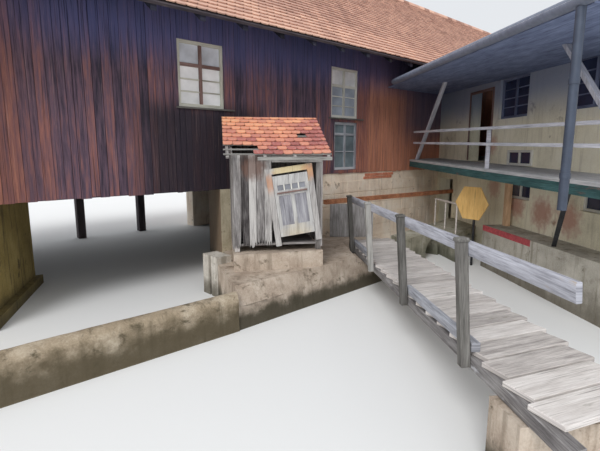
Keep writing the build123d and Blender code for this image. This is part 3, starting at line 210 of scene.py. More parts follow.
class Web:
    """Short calls for building a material's node tree. The material joins the table of looks."""

    def __init__(self, name):
        self.material = bpy.data.materials.new(name)
        self.material.use_nodes = True
        self.tree = self.material.node_tree
        self.shader = self.tree.nodes["Principled BSDF"]
        MAT[name] = self.material

    def node(self, kind, inputs=None, **settings):
        made = self.tree.nodes.new(kind)
        for key, value in settings.items():
            setattr(made, key, value)
        for key, value in (inputs or {}).items():
            self.link(value, made.inputs[key])
        return made

    def link(self, value, socket):
        if isinstance(value, bpy.types.NodeSocket):
            self.tree.links.new(value, socket)
        else:
            plain_colour = socket.type == "RGBA" and len(value) == 3
            socket.default_value = (*value, 1) if plain_colour else value

    def place_of(self):
        return self.node("ShaderNodeTexCoord").outputs["Object"]

    def tone(self):
        return self.node("ShaderNodeAttribute", attribute_name="tone").outputs["Fac"]

    def noise(self, where, scale, detail, rough, distort=0.0):
        shape = {"Vector": where, "Scale": scale, "Detail": detail, "Roughness": rough, "Distortion": distort}
        return self.node("ShaderNodeTexNoise", shape).outputs["Fac"]

    def cloud(self, scale, detail=5.0, rough=0.6, distort=0.0):
        return self.noise(self.place_of(), scale, detail, rough, distort)

    def fibre(self, along, across, scale, detail, rough, distort=0.0):
        """Noise drawn out along the grain."""
        uv = self.node("ShaderNodeUVMap", uv_map="grain").outputs[0]
        where = self.node("ShaderNodeMapping", {0: uv, "Scale": (along, across, 1)}).outputs[0]
        return self.noise(where, scale, detail, rough, distort)

    def ramp(self, value, *stops):
        made = self.node("ShaderNodeValToRGB", {0: value})
        band = made.color_ramp
        while len(band.elements) < len(stops):
            band.elements.new(0.5)
        for element, (at, colour) in zip(band.elements, stops):
            element.position = at
            element.color = (*colour, 1)
        return made.outputs[0]

    def band(self, value, low, high):
        """Grey ramp from 0 at low to 1 at high."""
        ends = {0: value, 1: low, 2: high, 3: 0.0, 4: 1.0}
        return self.node("ShaderNodeMapRange", ends, interpolation_type="SMOOTHSTEP").outputs[0]

    def mix(self, share, a, b):
        made = self.node("ShaderNodeMix", {0: share, 6: a, 7: b}, data_type="RGBA", clamp_result=True)
        return made.outputs[2]

    def math(self, kind, first, *others):
        for other in others:
            first = self.node("ShaderNodeMath", {0: first, 1: other}, operation=kind).outputs[0]
        return first

    def times(self, *values):
        return self.math("MULTIPLY", *values)

    def plus(self, *values):
        return self.math("ADD", *values)

    def minus(self, *values):
        return self.math("SUBTRACT", *values)

    def lay(self, colour, tint, mask, share):
        """Colour with a share of a tint laid over it where the mask is."""
        return self.mix(self.times(mask, share), colour, tint)

    def axis(self, index):
        return self.node("ShaderNodeSeparateXYZ", {0: self.place_of()}).outputs[index]

    def spot(self, point, inner, outer):
        """1 near a point, fading to 0 at a ragged edge."""
        gap = self.node("ShaderNodeVectorMath", {0: self.place_of(), 1: tuple(point)}, operation="DISTANCE")
        cloud = self.minus(self.cloud(9.0), 0.5)
        ragged = self.plus(gap.outputs["Value"], self.times(cloud, outer))
        return self.band(ragged, outer, inner)

    def spots(self, colour, marks):
        for point, inner, outer, stain, share in marks:
            colour = self.lay(colour, stain, self.spot(point, inner, outer), share)
        return colour

    def finish(self, colour, height=None, rough=0.8, strength=0.4, distance=0.01, metal=0.0):
        inputs = self.shader.inputs
        self.link(colour, inputs["Base Color"])
        self.link(rough, inputs["Roughness"])
        inputs["Metallic"].default_value = metal
        inputs["Specular IOR Level"].default_value = 0.3
        if height is not None:
            shape = {"Height": height, "Strength": strength, "Distance": distance}
            bump = self.node("ShaderNodeBump", shape)
            self.link(bump.outputs[0], inputs["Normal"])


def tinted(colour, factor):
    """A paler or darker colour."""
    return tuple(min(1, c * factor) for c in colour)


def wood(name, dark, middle, light, streak, wear=None, wear_share=0.0, spread=0.2, marks=()):
    """Board wood: long grain, a tone for each board, worn patches and marks at given places."""
    w = Web(name)
    fine = w.fibre(1.6, streak * 2, 2.2, 8, 0.7, 0.4)
    broad = w.fibre(0.9, streak * 0.35, 2.0, 4, 0.6)
    value = w.plus(w.times(fine, 0.55), w.times(broad, 0.45), -spread / 2, w.times(w.tone(), spread))
    colour = w.ramp(value, (0.34, dark), (0.5, middle), (0.66, light))
    if wear:
        patch = w.band(w.fibre(0.7, 3, 1.4, 5, 0.7), 0.62 - wear_share, 0.7)
        colour = w.mix(patch, colour, wear)
    cracks = w.band(w.fibre(0.8, streak * 2.2, 1.7, 4, 0.55), 0.58, 0.7)
    colour = w.spots(colour, marks)
    colour = w.lay(colour, tinted(dark, 0.35), cracks, 0.62)
    height = w.minus(fine, w.times(cracks, 0.8))
    w.finish(colour, height, 0.82, 0.55, 0.004)


def hall_boards():
    """Tarred boards: purple-brown, rusty towards both ends, with painted shade that makes them blue-black
    under the eaves and navy near the wing's roof.
    """
    w = Web("boards")
    x, y, z = (w.axis(n) for n in range(3))
    fine = w.fibre(1.3, 60, 2.0, 8, 0.7, 0.3)
    broad = w.fibre(0.8, 9, 2.2, 5, 0.65)
    left_share = w.band(x, -2.9, -4.1)
    warm = w.plus(
        w.times(w.band(x, 2.6, 5.0), 0.68),
        w.times(left_share, 0.32),
        w.times(w.band(z, 4.4, 2.3), 0.12),
        w.times(w.minus(w.tone(), 0.5), 0.34),
        w.times(w.minus(broad, 0.5), 1.1),
        0.22,
    )
    colour = w.ramp(
        warm,
        (0.02, (0.03, 0.024, 0.04)),
        (0.3, (0.125, 0.078, 0.11)),
        (0.6, (0.3, 0.125, 0.105)),
        (0.95, (0.58, 0.25, 0.16)),
    )
    colour = w.lay(colour, (0.085, 0.03, 0.02), left_share, 0.5)
    rust = w.band(w.fibre(0.45, 13, 1.9, 5, 0.6), 0.52, 0.68)
    rust = w.times(rust, w.band(z, 3.7, 2.5), w.band(x, -0.4, 1.2))
    colour = w.lay(colour, (0.55, 0.2, 0.085), rust, 0.75)
    front = w.times(w.band(y, 0.3, 0.05), w.band(x, 8.6, 7.8))
    under_window = w.times(w.band(z, 3.7, 3.2), w.band(x, 1.2, 0.3), w.band(x, -2.2, -1.4), front)
    colour = w.lay(colour, (0.024, 0.019, 0.028), under_window, 0.93)
    # Painted shadow of the eaves: blue-black along the top of the front wall, weaker towards the far left.
    dim = w.plus(w.times(w.band(x, -4.2, -2.4), 0.75), 0.25)
    shadow = w.times(w.band(z, 3.85, 4.7), front, dim)
    colour = w.lay(colour, (0.105, 0.115, 0.27), shadow, 0.85)
    # Painted shade under the wing's roof: dark navy boards near the corner with the wing.
    corner = w.times(w.band(x, 5.3, 6.6), w.band(z, 2.5, 3.5), front)
    colour = w.lay(colour, (0.085, 0.095, 0.17), corner, 0.8)
    thin = w.fibre(0.35, 34, 1.8, 6, 0.7)
    pale = w.plus(w.band(fine, 0.56, 0.76), w.times(w.band(thin, 0.56, 0.7), 0.8))
    colour = w.lay(colour, (0.46, 0.32, 0.29), pale, 0.38)
    cracks = w.band(w.fibre(0.5, 40, 1.6, 5, 0.6), 0.53, 0.66)
    colour = w.lay(colour, (0.012, 0.01, 0.017), cracks, 0.72)
    w.finish(colour, w.minus(fine, cracks), 0.78, 0.6, 0.004)


def clay(name, dark, middle, light, bright, moss, moss_share, pale_share):
    """Plain clay tiles with a tone for each tile, lichen and grime."""
    w = Web(name)
    speck = w.cloud(38.0, 6, 0.65)
    patch = w.cloud(1.1, 5, 0.6)
    value = w.plus(w.times(speck, 0.22), w.times(w.tone(), 0.78), w.times(w.minus(patch, 0.5), 0.5))
    colour = w.ramp(value, (0.12, dark), (0.42, middle), (0.68, light), (0.95, bright))
    lichen = w.band(w.cloud(24.0, 8, 0.75), 0.62 - pale_share, 0.74)
    lichen = w.times(lichen, w.band(w.tone(), 0.9, 0.4))
    colour = w.mix(lichen, colour, (0.66, 0.56, 0.53))
    moss_patch = w.band(w.cloud(5.0, 8, 0.7), 0.66 - moss_share, 0.76)
    colour = w.mix(moss_patch, colour, moss)
    w.finish(colour, speck, 0.88, 0.5, 0.006)


def mineral(
    name, dark, middle, light, scale, streaks, stain, stain_share, foot=None, head=None, side=None, marks=()
):
    """Stone or plaster with streaks and stains. It may have a dark foot, a head or side tinted with painted
    shade, and marks.
    """
    w = Web(name)
    broad = w.cloud(scale, 7, 0.62)
    fine = w.cloud(45.0, 6, 0.65)
    value = w.plus(w.times(broad, 0.7), w.times(fine, 0.3))
    colour = w.ramp(value, (0.32, dark), (0.5, middle), (0.68, light))
    upright = w.node("ShaderNodeMapping", {0: w.place_of(), "Scale": (5.5, 5.5, 0.55)}).outputs[0]
    runs = w.band(w.noise(upright, 1.6, 6, 0.65), 0.5, 0.68)
    colour = w.lay(colour, stain, runs, streaks)
    patch = w.band(w.cloud(scale * 1.9, 8, 0.7, 0.4), 0.62 - stain_share, 0.7)
    colour = w.mix(patch, colour, stain)
    # Painted shade on the faces turned towards one direction.
    if side:
        direction, tint, share = side
        normal = w.node("ShaderNodeNewGeometry").outputs["Normal"]
        facing = w.node("ShaderNodeVectorMath", {0: normal, 1: direction}, operation="DOT_PRODUCT")
        colour = w.lay(colour, tint, w.band(facing.outputs["Value"], 0.35, 0.6), share)
    colour = w.spots(colour, marks)
    ragged = w.plus(w.axis(2), w.times(w.minus(broad, 0.5), 0.5))
    # Painted shadow on the upper wall, under the eaves.
    if head:
        low, high, tint, share = head
        colour = w.lay(colour, tint, w.band(ragged, low, high), share)
    if foot:
        low, high, damp, share = foot
        colour = w.lay(colour, damp, w.band(ragged, high, low), share)
    w.finish(colour, w.plus(fine, broad), 0.9, 0.5, 0.012)


def glass(name, colour, rough=0.18):
    w = Web(name)
    cloud = w.cloud(1.6, 4, 0.6)
    w.finish(w.ramp(cloud, (0.3, tinted(colour, 0.65)), (0.7, tinted(colour, 1.4))), None, rough)
    w.shader.inputs["Specular IOR Level"].default_value = 0.5


def plain(name, colour, rough=0.5, metal=0.0, vary=0.25, scale=9.0):
    w = Web(name)
    cloud = w.cloud(scale, 6, 0.65)
    tint = w.ramp(cloud, (0.35, tinted(colour, 1 - vary)), (0.65, tinted(colour, 1 + vary)))
    w.finish(tint, w.cloud(60.0, 4, 0.6), rough, 0.15, 0.002, metal)


CREAM = (0.62, 0.5, 0.27)
ORANGE_STAIN = (0.5, 0.2, 0.07)
BROWN_STAIN = (0.13, 0.065, 0.045)
BRICK = (0.48, 0.2, 0.15)
SHADOW_BLUE = (0.2, 0.25, 0.38)

hall_boards()
clay(
    "tiles", (0.3, 0.16, 0.12), (0.5, 0.3, 0.235), (0.62, 0.38, 0.29), (0.74, 0.47, 0.35),
    (0.27, 0.22, 0.2), 0.03, 0.02
)
clay(
    "hut_tiles", (0.18, 0.06, 0.052), (0.46, 0.165, 0.145), (0.76, 0.35, 0.22), (0.9, 0.5, 0.28),
    (0.17, 0.14, 0.11), 0.04, 0.09
)
wood(
    "hut_front", (0.035, 0.03, 0.03), (0.215, 0.2, 0.195), (0.5, 0.48, 0.46), 15, spread=0.3,
    marks=((hut_point(0.34, -0.03, 2.34), 0.1, 0.3, BROWN_STAIN, 0.75),),
)
wood(
    "hut_boards", (0.09, 0.078, 0.072), (0.29, 0.27, 0.26), (0.5, 0.47, 0.45), 22, (0.22, 0.13, 0.09),
    0.02, 0.4
)
wood(
    "hut_frame", (0.11, 0.09, 0.085), (0.32, 0.3, 0.29), (0.5, 0.48, 0.46), 18,
    marks=(
        (door_point(0.05, 1.29, 0.04), 0.16, 0.42, CREAM, 0.8),
        (door_point(-0.36, 1.08, 0.04), 0.06, 0.22, ORANGE_STAIN, 0.6),
        (door_point(0.36, 1.2, 0.04), 0.06, 0.2, ORANGE_STAIN, 0.6),
        (door_point(0.0, 0.1, 0.04), 0.1, 0.3, BROWN_STAIN, 0.8),
    ),
)
wood(
    "door_leaf", (0.17, 0.155, 0.15), (0.37, 0.36, 0.355), (0.56, 0.55, 0.53), 16,
    marks=((door_point(0.0, 0.1, 0.04), 0.1, 0.34, CREAM, 0.4),),
)
wood("door_panels", (0.11, 0.105, 0.12), (0.27, 0.265, 0.29), (0.48, 0.475, 0.49), 18)
wood(
    "bridge", (0.3, 0.27, 0.255), (0.58, 0.535, 0.505), (0.78, 0.74, 0.71), 20, (0.3, 0.28, 0.24), 0.03,
    0.15
)
wood("stringer", (0.11, 0.1, 0.1), (0.27, 0.255, 0.25), (0.46, 0.45, 0.45), 18, (0.5, 0.5, 0.52), 0.03)
wood("kerb", (0.2, 0.2, 0.22), (0.4, 0.41, 0.45), (0.6, 0.61, 0.64), 16, (0.3, 0.26, 0.2), 0.03)
wood("rail", (0.25, 0.25, 0.28), (0.47, 0.475, 0.53), (0.7, 0.7, 0.75), 16, (0.4, 0.33, 0.26), 0.02)
wood(
    "post", (0.07, 0.066, 0.06), (0.17, 0.162, 0.15), (0.34, 0.33, 0.31), 20, (0.16, 0.15, 0.1), 0.04,
    0.3
)
wood("gallery", (0.16, 0.155, 0.155), (0.36, 0.36, 0.37), (0.54, 0.53, 0.53), 16, spread=0.3)
wood(
    "gallery_beam", (0.025, 0.065, 0.066), (0.055, 0.13, 0.13), (0.14, 0.24, 0.24), 12, (0.22, 0.1, 0.08),
    0.04
)
# Painted shade: the soffit's slate blue stands for the shade under the wing's roof.
wood("soffit", (0.12, 0.15, 0.26), (0.22, 0.275, 0.44), (0.33, 0.39, 0.56), 8, spread=0.15)
wood("dark_timber", (0.02, 0.018, 0.024), (0.05, 0.042, 0.052), (0.11, 0.09, 0.095), 20, spread=0.4)
wood("pink_timber", (0.34, 0.2, 0.11), (0.62, 0.4, 0.24), (0.8, 0.58, 0.38), 18)
# Painted shade: the rafter ends are near-black, as in the shade under the eaves.
wood("tail", (0.008, 0.008, 0.014), (0.02, 0.02, 0.036), (0.04, 0.042, 0.066), 20, spread=0.3)
wood("ply", (0.56, 0.32, 0.11), (0.74, 0.46, 0.16), (0.84, 0.57, 0.24), 9, (0.62, 0.28, 0.08), 0.02, 0.1)
wood("frame_paint", (0.34, 0.33, 0.27), (0.56, 0.55, 0.47), (0.7, 0.69, 0.6), 14)
wood("brown_paint", (0.09, 0.05, 0.045), (0.19, 0.115, 0.1), (0.3, 0.2, 0.18), 14)
wood("pale_bars", (0.45, 0.43, 0.38), (0.64, 0.62, 0.56), (0.76, 0.74, 0.68), 12)
wood("blue_bars", (0.06, 0.07, 0.12), (0.11, 0.13, 0.21), (0.19, 0.22, 0.33), 12)
mineral(
    "pier", (0.17, 0.12, 0.038), (0.32, 0.24, 0.08), (0.46, 0.36, 0.145), 1.3, 0.7, (0.07, 0.052, 0.03),
    0.05, foot=(0.05, 0.4, (0.05, 0.045, 0.03), 0.7)
)
mineral(
    "masonry", (0.72, 0.56, 0.43), (0.94, 0.8, 0.65), (0.98, 0.91, 0.8), 1.6, 0.28, (0.3, 0.22, 0.15), 0.03
)
mineral(
    "concrete", (0.27, 0.205, 0.155), (0.46, 0.375, 0.3), (0.62, 0.54, 0.45), 2.2, 0.45, (0.13, 0.1, 0.065),
    0.06, foot=(0.14, 0.36, (0.05, 0.044, 0.027), 0.92)
)
mineral(
    "divider", (0.19, 0.145, 0.09), (0.355, 0.285, 0.2), (0.58, 0.5, 0.39), 2.6, 0.5, (0.1, 0.08, 0.05),
    0.1, foot=(0.18, 0.5, (0.085, 0.068, 0.04), 0.9)
)
mineral(
    "block", (0.36, 0.33, 0.28), (0.56, 0.52, 0.46), (0.7, 0.66, 0.6), 2.6, 0.5, (0.16, 0.14, 0.1), 0.02,
    foot=(0.05, 0.35, (0.07, 0.06, 0.04), 0.8)
)
mineral(
    "culvert", (0.22, 0.205, 0.15), (0.38, 0.36, 0.28), (0.58, 0.55, 0.47), 2.0, 0.6, (0.1, 0.1, 0.06),
    0.06, foot=(0.05, 0.5, (0.07, 0.075, 0.05), 0.8)
)
mineral(
    "walkway", (0.26, 0.24, 0.2), (0.44, 0.41, 0.35), (0.6, 0.57, 0.5), 2.0, 0.5, (0.14, 0.12, 0.08), 0.06,
    foot=(0.05, 0.55, (0.1, 0.085, 0.06), 0.7)
)
mineral(
    "plaster", (0.6, 0.55, 0.41), (0.84, 0.78, 0.6), (0.94, 0.89, 0.73), 1.0, 0.3, (0.36, 0.3, 0.2), 0.02,
    head=(3.0, 3.95, SHADOW_BLUE, 0.85),
    marks=[
        (wing_point(s, 0, z), inner, outer, BRICK, share)
        for s, z, inner, outer, share in (
            (4.5, 1.42, 0.1, 0.42, 0.75), (5.4, 1.38, 0.12, 0.48, 0.75), (6.2, 1.36, 0.1, 0.45, 0.75),
            (7.4, 1.45, 0.1, 0.45, 0.75), (3.5, 1.75, 0.1, 0.4, 0.6), (3.3, 2.75, 0.08, 0.3, 0.6),
        )
    ],
)
mineral(
    "outer_plaster", (0.52, 0.48, 0.37), (0.74, 0.69, 0.55), (0.84, 0.8, 0.67), 1.0, 0.3, (0.36, 0.3, 0.2),
    0.02
)
mineral(
    "brick", (0.42, 0.13, 0.08), (0.66, 0.24, 0.14), (0.8, 0.38, 0.26), 5.0, 0.3, (0.2, 0.14, 0.11), 0.05
)
# Painted shade: the faces turned west are dark brown, as the pier's side in shade.
mineral(
    "middle_pier", (0.36, 0.3, 0.2), (0.56, 0.49, 0.35), (0.7, 0.63, 0.48), 1.6, 0.5, (0.16, 0.11, 0.07),
    0.04, side=((-1.0, 0.0, 0.0), (0.17, 0.105, 0.06), 0.85), foot=(0.05, 0.45, (0.07, 0.06, 0.04), 0.7)
)
mineral(
    "rust", (0.2, 0.085, 0.05), (0.42, 0.17, 0.085), (0.62, 0.3, 0.16), 6.0, 0.2, (0.12, 0.06, 0.04), 0.03
)
plain("zinc", (0.19, 0.215, 0.28), 0.5, 0.1, 0.15)
plain("pale_zinc", (0.66, 0.68, 0.72), 0.5, 0.1, 0.15)
plain("pipe", (0.055, 0.068, 0.098), 0.45, 0.1, 0.12)
plain("brace", (0.03, 0.03, 0.034), 0.6, 0.2, 0.4, 14.0)
plain("galvanised", (0.62, 0.57, 0.53), 0.55, 0.3, 0.25, 20.0)
plain("kerb_paint", (0.42, 0.075, 0.085), 0.7, 0.0, 0.25, 12.0)
glass("milky_panes", (0.98, 1.0, 1.0), 0.4)
glass("half_panes", (0.55, 0.58, 0.63), 0.35)
glass("grey_panes", (0.74, 0.76, 0.82))
glass("blue_panes", (0.34, 0.37, 0.43))
glass("dark_panes", (0.02, 0.028, 0.065))
glass("hatch_panes", (0.16, 0.2, 0.22))
glass("door_glass", (0.22, 0.225, 0.25))


# Pieces carried over from the frame


def islands(mesh):
    """Index of the connected solid that each vertex belongs to."""
    parent = list(range(len(mesh.vertices)))

    def root(i):
        while parent[i] != i:
            parent[i] = parent[parent[i]]
            i = parent[i]
        return i

    for edge in mesh.edges:
        a, b = (root(v) for v in edge.vertices)
        parent[a] = b
    return [root(i) for i in range(len(mesh.vertices))]


def dress(node, along, look, bevel, cell=0.0, rough=0.0):
    """Copy of a frame node with softened edges, grain and a tone for each solid. It stands for the node."""
    mesh = NODES[node].data.copy()
    mesh.materials.clear()
    work = bmesh.new()
    work.from_mesh(mesh)
    bmesh.ops.remove_doubles(work, verts=work.verts, dist=1e-5)
    bmesh.ops.dissolve_limit(work, angle_limit=0.02, verts=work.verts, edges=work.edges)
    if cell:
        cut_to(work, cell)
    work.to_mesh(mesh)
    work.free()
    group = islands(mesh)
    draws = {label: (RNG.random(), RNG.uniform(0, 50), RNG.uniform(0, 50)) for label in sorted(set(group))}
    if rough:
        roughen(mesh, rough)
    direction = along.normalized()
    while mesh.uv_layers:
        mesh.uv_layers.remove(mesh.uv_layers[0])
    layer = mesh.uv_layers.new(name="grain")
    tone = mesh.attributes.new("tone", "FLOAT", "FACE")
    for polygon in mesh.polygons:
        shade, shift_u, shift_v = draws[group[polygon.vertices[0]]]
        tone.data[polygon.index].value = shade
        across = polygon.normal.cross(direction)
        across = across.normalized() if across.length > 0.1 else UP
        for loop in polygon.loop_indices:
            point = mesh.vertices[mesh.loops[loop].vertex_index].co
            layer.data[loop].uv = (point.dot(direction) + shift_u, point.dot(across) + shift_v)
    mesh.materials.append(MAT[look])
    body = "hut_door" if node == "hut_door" else "building"
    return place(add(node + "_finish", mesh), body, (node,), bevel)


def cut_to(work, cell):
    """Cut the long edges until none is much longer than a cell."""
    bmesh.ops.triangulate(work, faces=work.faces)
    for _ in range(9):
        long = [e for e in work.edges if e.calc_length() > cell]
        if not long:
            break
        bmesh.ops.subdivide_edges(work, edges=long, cuts=1, use_grid_fill=False)
        bmesh.ops.triangulate(work, faces=[f for f in work.faces if len(f.verts) > 3])


def roughen(mesh, depth, foot=0.004):
    """Push the surface inward by cloudy noise, and leave the foot flat."""
    mesh.update()
    normals = [v.normal.copy() for v in mesh.vertices]
    for vertex, normal in zip(mesh.vertices, normals):
        if vertex.co.z < foot:
            continue
        broad = noise.noise(vertex.co * 1.7) * 0.5 + 0.5
        fine = noise.noise(vertex.co * 7.0) * 0.5 + 0.5
        vertex.co -= normal * depth * (0.65 * broad + 0.35 * fine)


# Tiles. Each kind has its width, course, thickness and lap, in metres

HALL_TILE = (0.18, 0.165, 0.02, 0.05)
WING_TILE = (0.19, 0.17, 0.014, 0.04)
HUT_TILE = (0.165, 0.15, 0.02, 0.035)
TILE_GAP = 0.0025


def tile_field(
    shape, origin, across, up, normal, width, rise, kind, seed, shade, keep=None, sag_line=0.0, slip=0.007
):
    """Rows of plain tiles on a slope. Each tile's lower end lies at the top of the slope's layer."""
    rng = random.Random(seed)
    tile, course, thick, lap = kind
    rows = round(rise / course)
    course = rise / rows
    columns = round(width / tile)
    tile = width / columns
    nose = 0.22 * course
    corner = across * (tile * 0.16)
    for row in range(rows):
        half = tile / 2 * (row % 2)
        for column in range(-1 if half else 0, columns):
            left = column * tile + half
            left, right = max(left, 0.0), min(left + tile, width)
            share = (left + right) / 2 / width
            if keep and not keep((row + 0.5) / rows, share):
                continue
            sag = rng.uniform(-0.003, 0.003)
            bow = 1 - 4 * share * (1 - share)
            low = row * course + rng.uniform(0, slip) + sag_line * bow
            high = min((row + 1) * course + lap + sag_line * bow, rise)
            lift = -rng.uniform(0.0, 0.004)
            a = origin + across * (left + TILE_GAP)
            b = origin + across * (right - TILE_GAP)
            foot = up * low + normal * lift
            head = up * high - normal * thick * 1.6
            side = foot + up * nose
            tip = foot + up * (nose * 0.25)
            top = [a + side, a + corner + tip, b - corner + tip + up * sag, b + side, b + head, a + head]
            tone = shade(row / rows, share, rng.random())
            shape.prism(top, -normal * thick, up, tone)


def hall_roof():
    """Tiles and the boarding under them, on both slopes."""
    cos, sin = math.cos(ROOF_PITCH), math.sin(ROOF_PITCH)
    rise = (HALL_WIDTH / 2 + EAVES_OUT) / cos
    left = HALL_LEFT - VERGE_OUT
    length = HALL_LENGTH + 2 * VERGE_OUT
    depth = ROOF_THICK - 0.045
    inset = depth * math.tan(ROOF_PITCH)
    boards = 26
    strip = (rise - inset) / boards
    for name, mirror, eave in (
        ("hall_roof_front", 1, -EAVES_OUT), ("hall_roof_back", -1, HALL_WIDTH + EAVES_OUT)
    ):
        up = Vector((0, cos * mirror, sin))
        out = Vector((0, -sin * mirror, cos))
        origin = Vector((left, eave, EAVES_Z + ROOF_THICK / cos))
        tiles = Shape()
        tile_field(tiles, origin, EAST, up, out, length, rise, HALL_TILE, 11, low_courses, slip=0.012)
        tiles.make(name + "_tiles", "tiles", "roof_tiles", replaces=(name,))
        deck = Shape()
        for n in range(boards):
            start = Vector((left, eave, EAVES_Z)) + up * (inset + strip * n + 0.002)
            deck.board(start, EAST * length, up * (strip - 0.006), out * depth, RNG.random())
        deck.make(name + "_boarding", "dark_timber", "roof_tiles")


def low_courses(up_share, along_share, tone):
    """Paler tones in the lowest courses."""
    return 0.25 + 0.5 * tone + (0.16 if up_share < 0.16 else 0)


def ridge_tiles():
    """Half-round tiles along the ridge, hollow below."""
    shape = Shape()
    low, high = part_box("hall_ridge")
    count = int((high.x - low.x) / 0.36)
    step = (high.x - low.x) / count
    half = (high.y - low.y) / 2
    rise = high.z - low.z
    arc = [(math.cos(math.pi * k / 8) * half, math.sin(math.pi * k / 8) * rise) for k in range(9)]
    rim = arc + [(y * 0.86, z * 0.86) for y, z in reversed(arc)]
    for n in range(count):
        ring = [Vector((low.x + n * step, HALL_WIDTH / 2 + y, low.z + z)) for y, z in rim]
        shape.prism(ring, EAST * (step - 0.004), EAST, RNG.random())
    shape.make("ridge_tiles", "tiles", "roof_tiles", replaces=("hall_ridge",))


hall_roof()
ridge_tiles()


# Hall walls

BOARD_W = 0.145


def soffit(y):
    """Height of the roof's underside over a place across the hall."""
    inward = y if y <= HALL_WIDTH / 2 else HALL_WIDTH - y
    return EAVES_Z + (inward + EAVES_OUT) * math.tan(ROOF_PITCH)


def hall_windows(numbers):
    return [(WINDOW_FIRST + WINDOW_PITCH * n, WINDOW_W, WINDOW_SILL, WINDOW_H) for n in numbers]


FRONT_OPENINGS = hall_windows(range(-1, 2)) + [(HATCH_X - HATCH_W / 2, HATCH_W, HATCH_SILL, HATCH_H)]
BACK_OPENINGS = hall_windows(range(-1, 5))


def board_edges(x0, x1, openings, rng):
    """Places of the joints between boards, with one on each side of every opening."""
    fixed = sorted({x0, x1, *[o[0] for o in openings], *[o[0] + o[1] for o in openings]})
    edges = [fixed[0]]
    for a, b in zip(fixed, fixed[1:]):
        count = max(1, round((b - a) / BOARD_W))
        weights = [rng.uniform(0.75, 1.3) for _ in range(count)]
        total = sum(weights)
        for weight in weights:
            edges.append(edges[-1] + (b - a) * weight / total)
        edges[-1] = b
    return edges


def wall_boards(name, openings, y_face, out, foot, seed):
    """Upright boards outside a wall of the hall, cut round its openings."""
    rng = random.Random(seed)
    shape = Shape()
    head = soffit(0.0) - 0.012
    edges = board_edges(HALL_LEFT, HALL_RIGHT, openings, rng)
    for a, b in zip(edges, edges[1:]):
        middle = (a + b) / 2
        bottom = foot(middle) + rng.uniform(-0.012, 0.02)
        spans = [(bottom, head)]
        for ox, ow, oz, oh in openings:
            if ox < middle < ox + ow:
                spans = [
                    piece
                    for low, high in spans
                    for piece in ((low, min(high, oz - 0.01)), (max(low, oz + oh), high))
                    if piece[1] - piece[0] > 0.05
                ]
        thick = rng.uniform(0.019, 0.026)
        tone = rng.random()
        for low, high in spans:
            gap = rng.uniform(0.001, 0.005)
            start = Vector((a + gap, y_face, low))
            shape.board(start, UP * (high - low), EAST * (b - a - 2 * gap), NORTH * out * thick, tone)
    shape.make(name, "boards", "hall_boards", bevel=0.002)


wall_boards("front_boards", FRONT_OPENINGS, 0.0, -1, lambda x: HALL_SILL if x < STEP_X else MASONRY_TOP, 3)
wall_boards("back_boards", BACK_OPENINGS, HALL_WIDTH, 1, lambda x: HALL_SILL, 4)


def gable_boards():
    """Upright boards on both gables, cut to the roof's slopes."""
    rng = random.Random(5)
    shape = Shape()
    for x, side, foot in ((HALL_LEFT, -1, HALL_SILL), (HALL_RIGHT, 1, MASONRY_TOP)):
        edges = board_edges(0.0, HALL_WIDTH, [(HALL_WIDTH / 2, 0.0)], rng)
        for a, b in zip(edges, edges[1:]):
            gap = rng.uniform(0.001, 0.004)
            y0, y1 = a + gap, b - gap
            low = foot + rng.uniform(-0.012, 0.015)
            corners = ((y0, low), (y1, low), (y1, soffit(y1) - 0.015), (y0, soffit(y0) - 0.015))
            depth = EAST * side * rng.uniform(0.019, 0.025)
            shape.prism([Vector((x, y, z)) for y, z in corners], depth, UP, rng.random())
    shape.make("gable_boards", "boards", "hall_boards", bevel=0.002)


gable_boards()


# Pieces that keep the frame's form, with softened edges and a grain

BRIDGE_AWAY = bearing(37.8)[1]
PLANKS_RIGHT = bearing(20.6)[0]

for node, along, look, slot, bevel in (
    ("bridge_planks", PLANKS_RIGHT, "bridge", "bridge_timber", 0.005),
    ("bridge_stringers", BRIDGE_AWAY, "stringer", "bridge_timber", 0.006),
    ("bridge_posts", UP, "post", "bridge_timber", 0.006),
    ("bridge_rail", BRIDGE_AWAY, "rail", "bridge_timber", 0.005),
    ("bridge_kerb", BRIDGE_AWAY, "kerb", "bridge_timber", 0.006),
    ("rafter_tails", NORTH, "tail", "hall_boards", 0.004),
    ("rear_posts", UP, "dark_timber", "hall_boards", 0.01),
    ("hut_posts", UP, "hut_boards", "hut_boards", 0.005),
    ("hut_side_boards", UP, "hut_boards", "hut_boards", 0.003),
    ("hut_back_boards", UP, "hut_boards", "hut_boards", 0.003),
    ("hut_door", UP, "door_leaf", "door_paint", 0.002),
    ("hut_door_frame", UP, "hut_frame", "door_paint", 0.003),
    ("hut_rafters", HUT_AWAY, "hut_boards", "hut_boards", 0.003),
    ("hut_floor", HUT_RIGHT, "hut_boards", "hut_boards", 0.003),
    ("sluice_boards", UP, "stringer", "bridge_timber", 0.004),
    ("gallery_floor", WING_ALONG, "gallery", "gallery_timber", 0.004),
    ("gallery_frame", WING_ALONG, "gallery_beam", "gallery_timber", 0.004),
    ("gallery_railing", WING_ALONG, "rail", "gallery_timber", 0.004),
    ("gallery_struts", UP, "rail", "gallery_timber", 0.004),
    ("wing_soffit", WING_ALONG, "soffit", "gallery_timber", 0.002),
    ("wing_floor", WING_ALONG, "gallery", "gallery_timber", 0.004),
):
    dress(node, along, look, bevel)
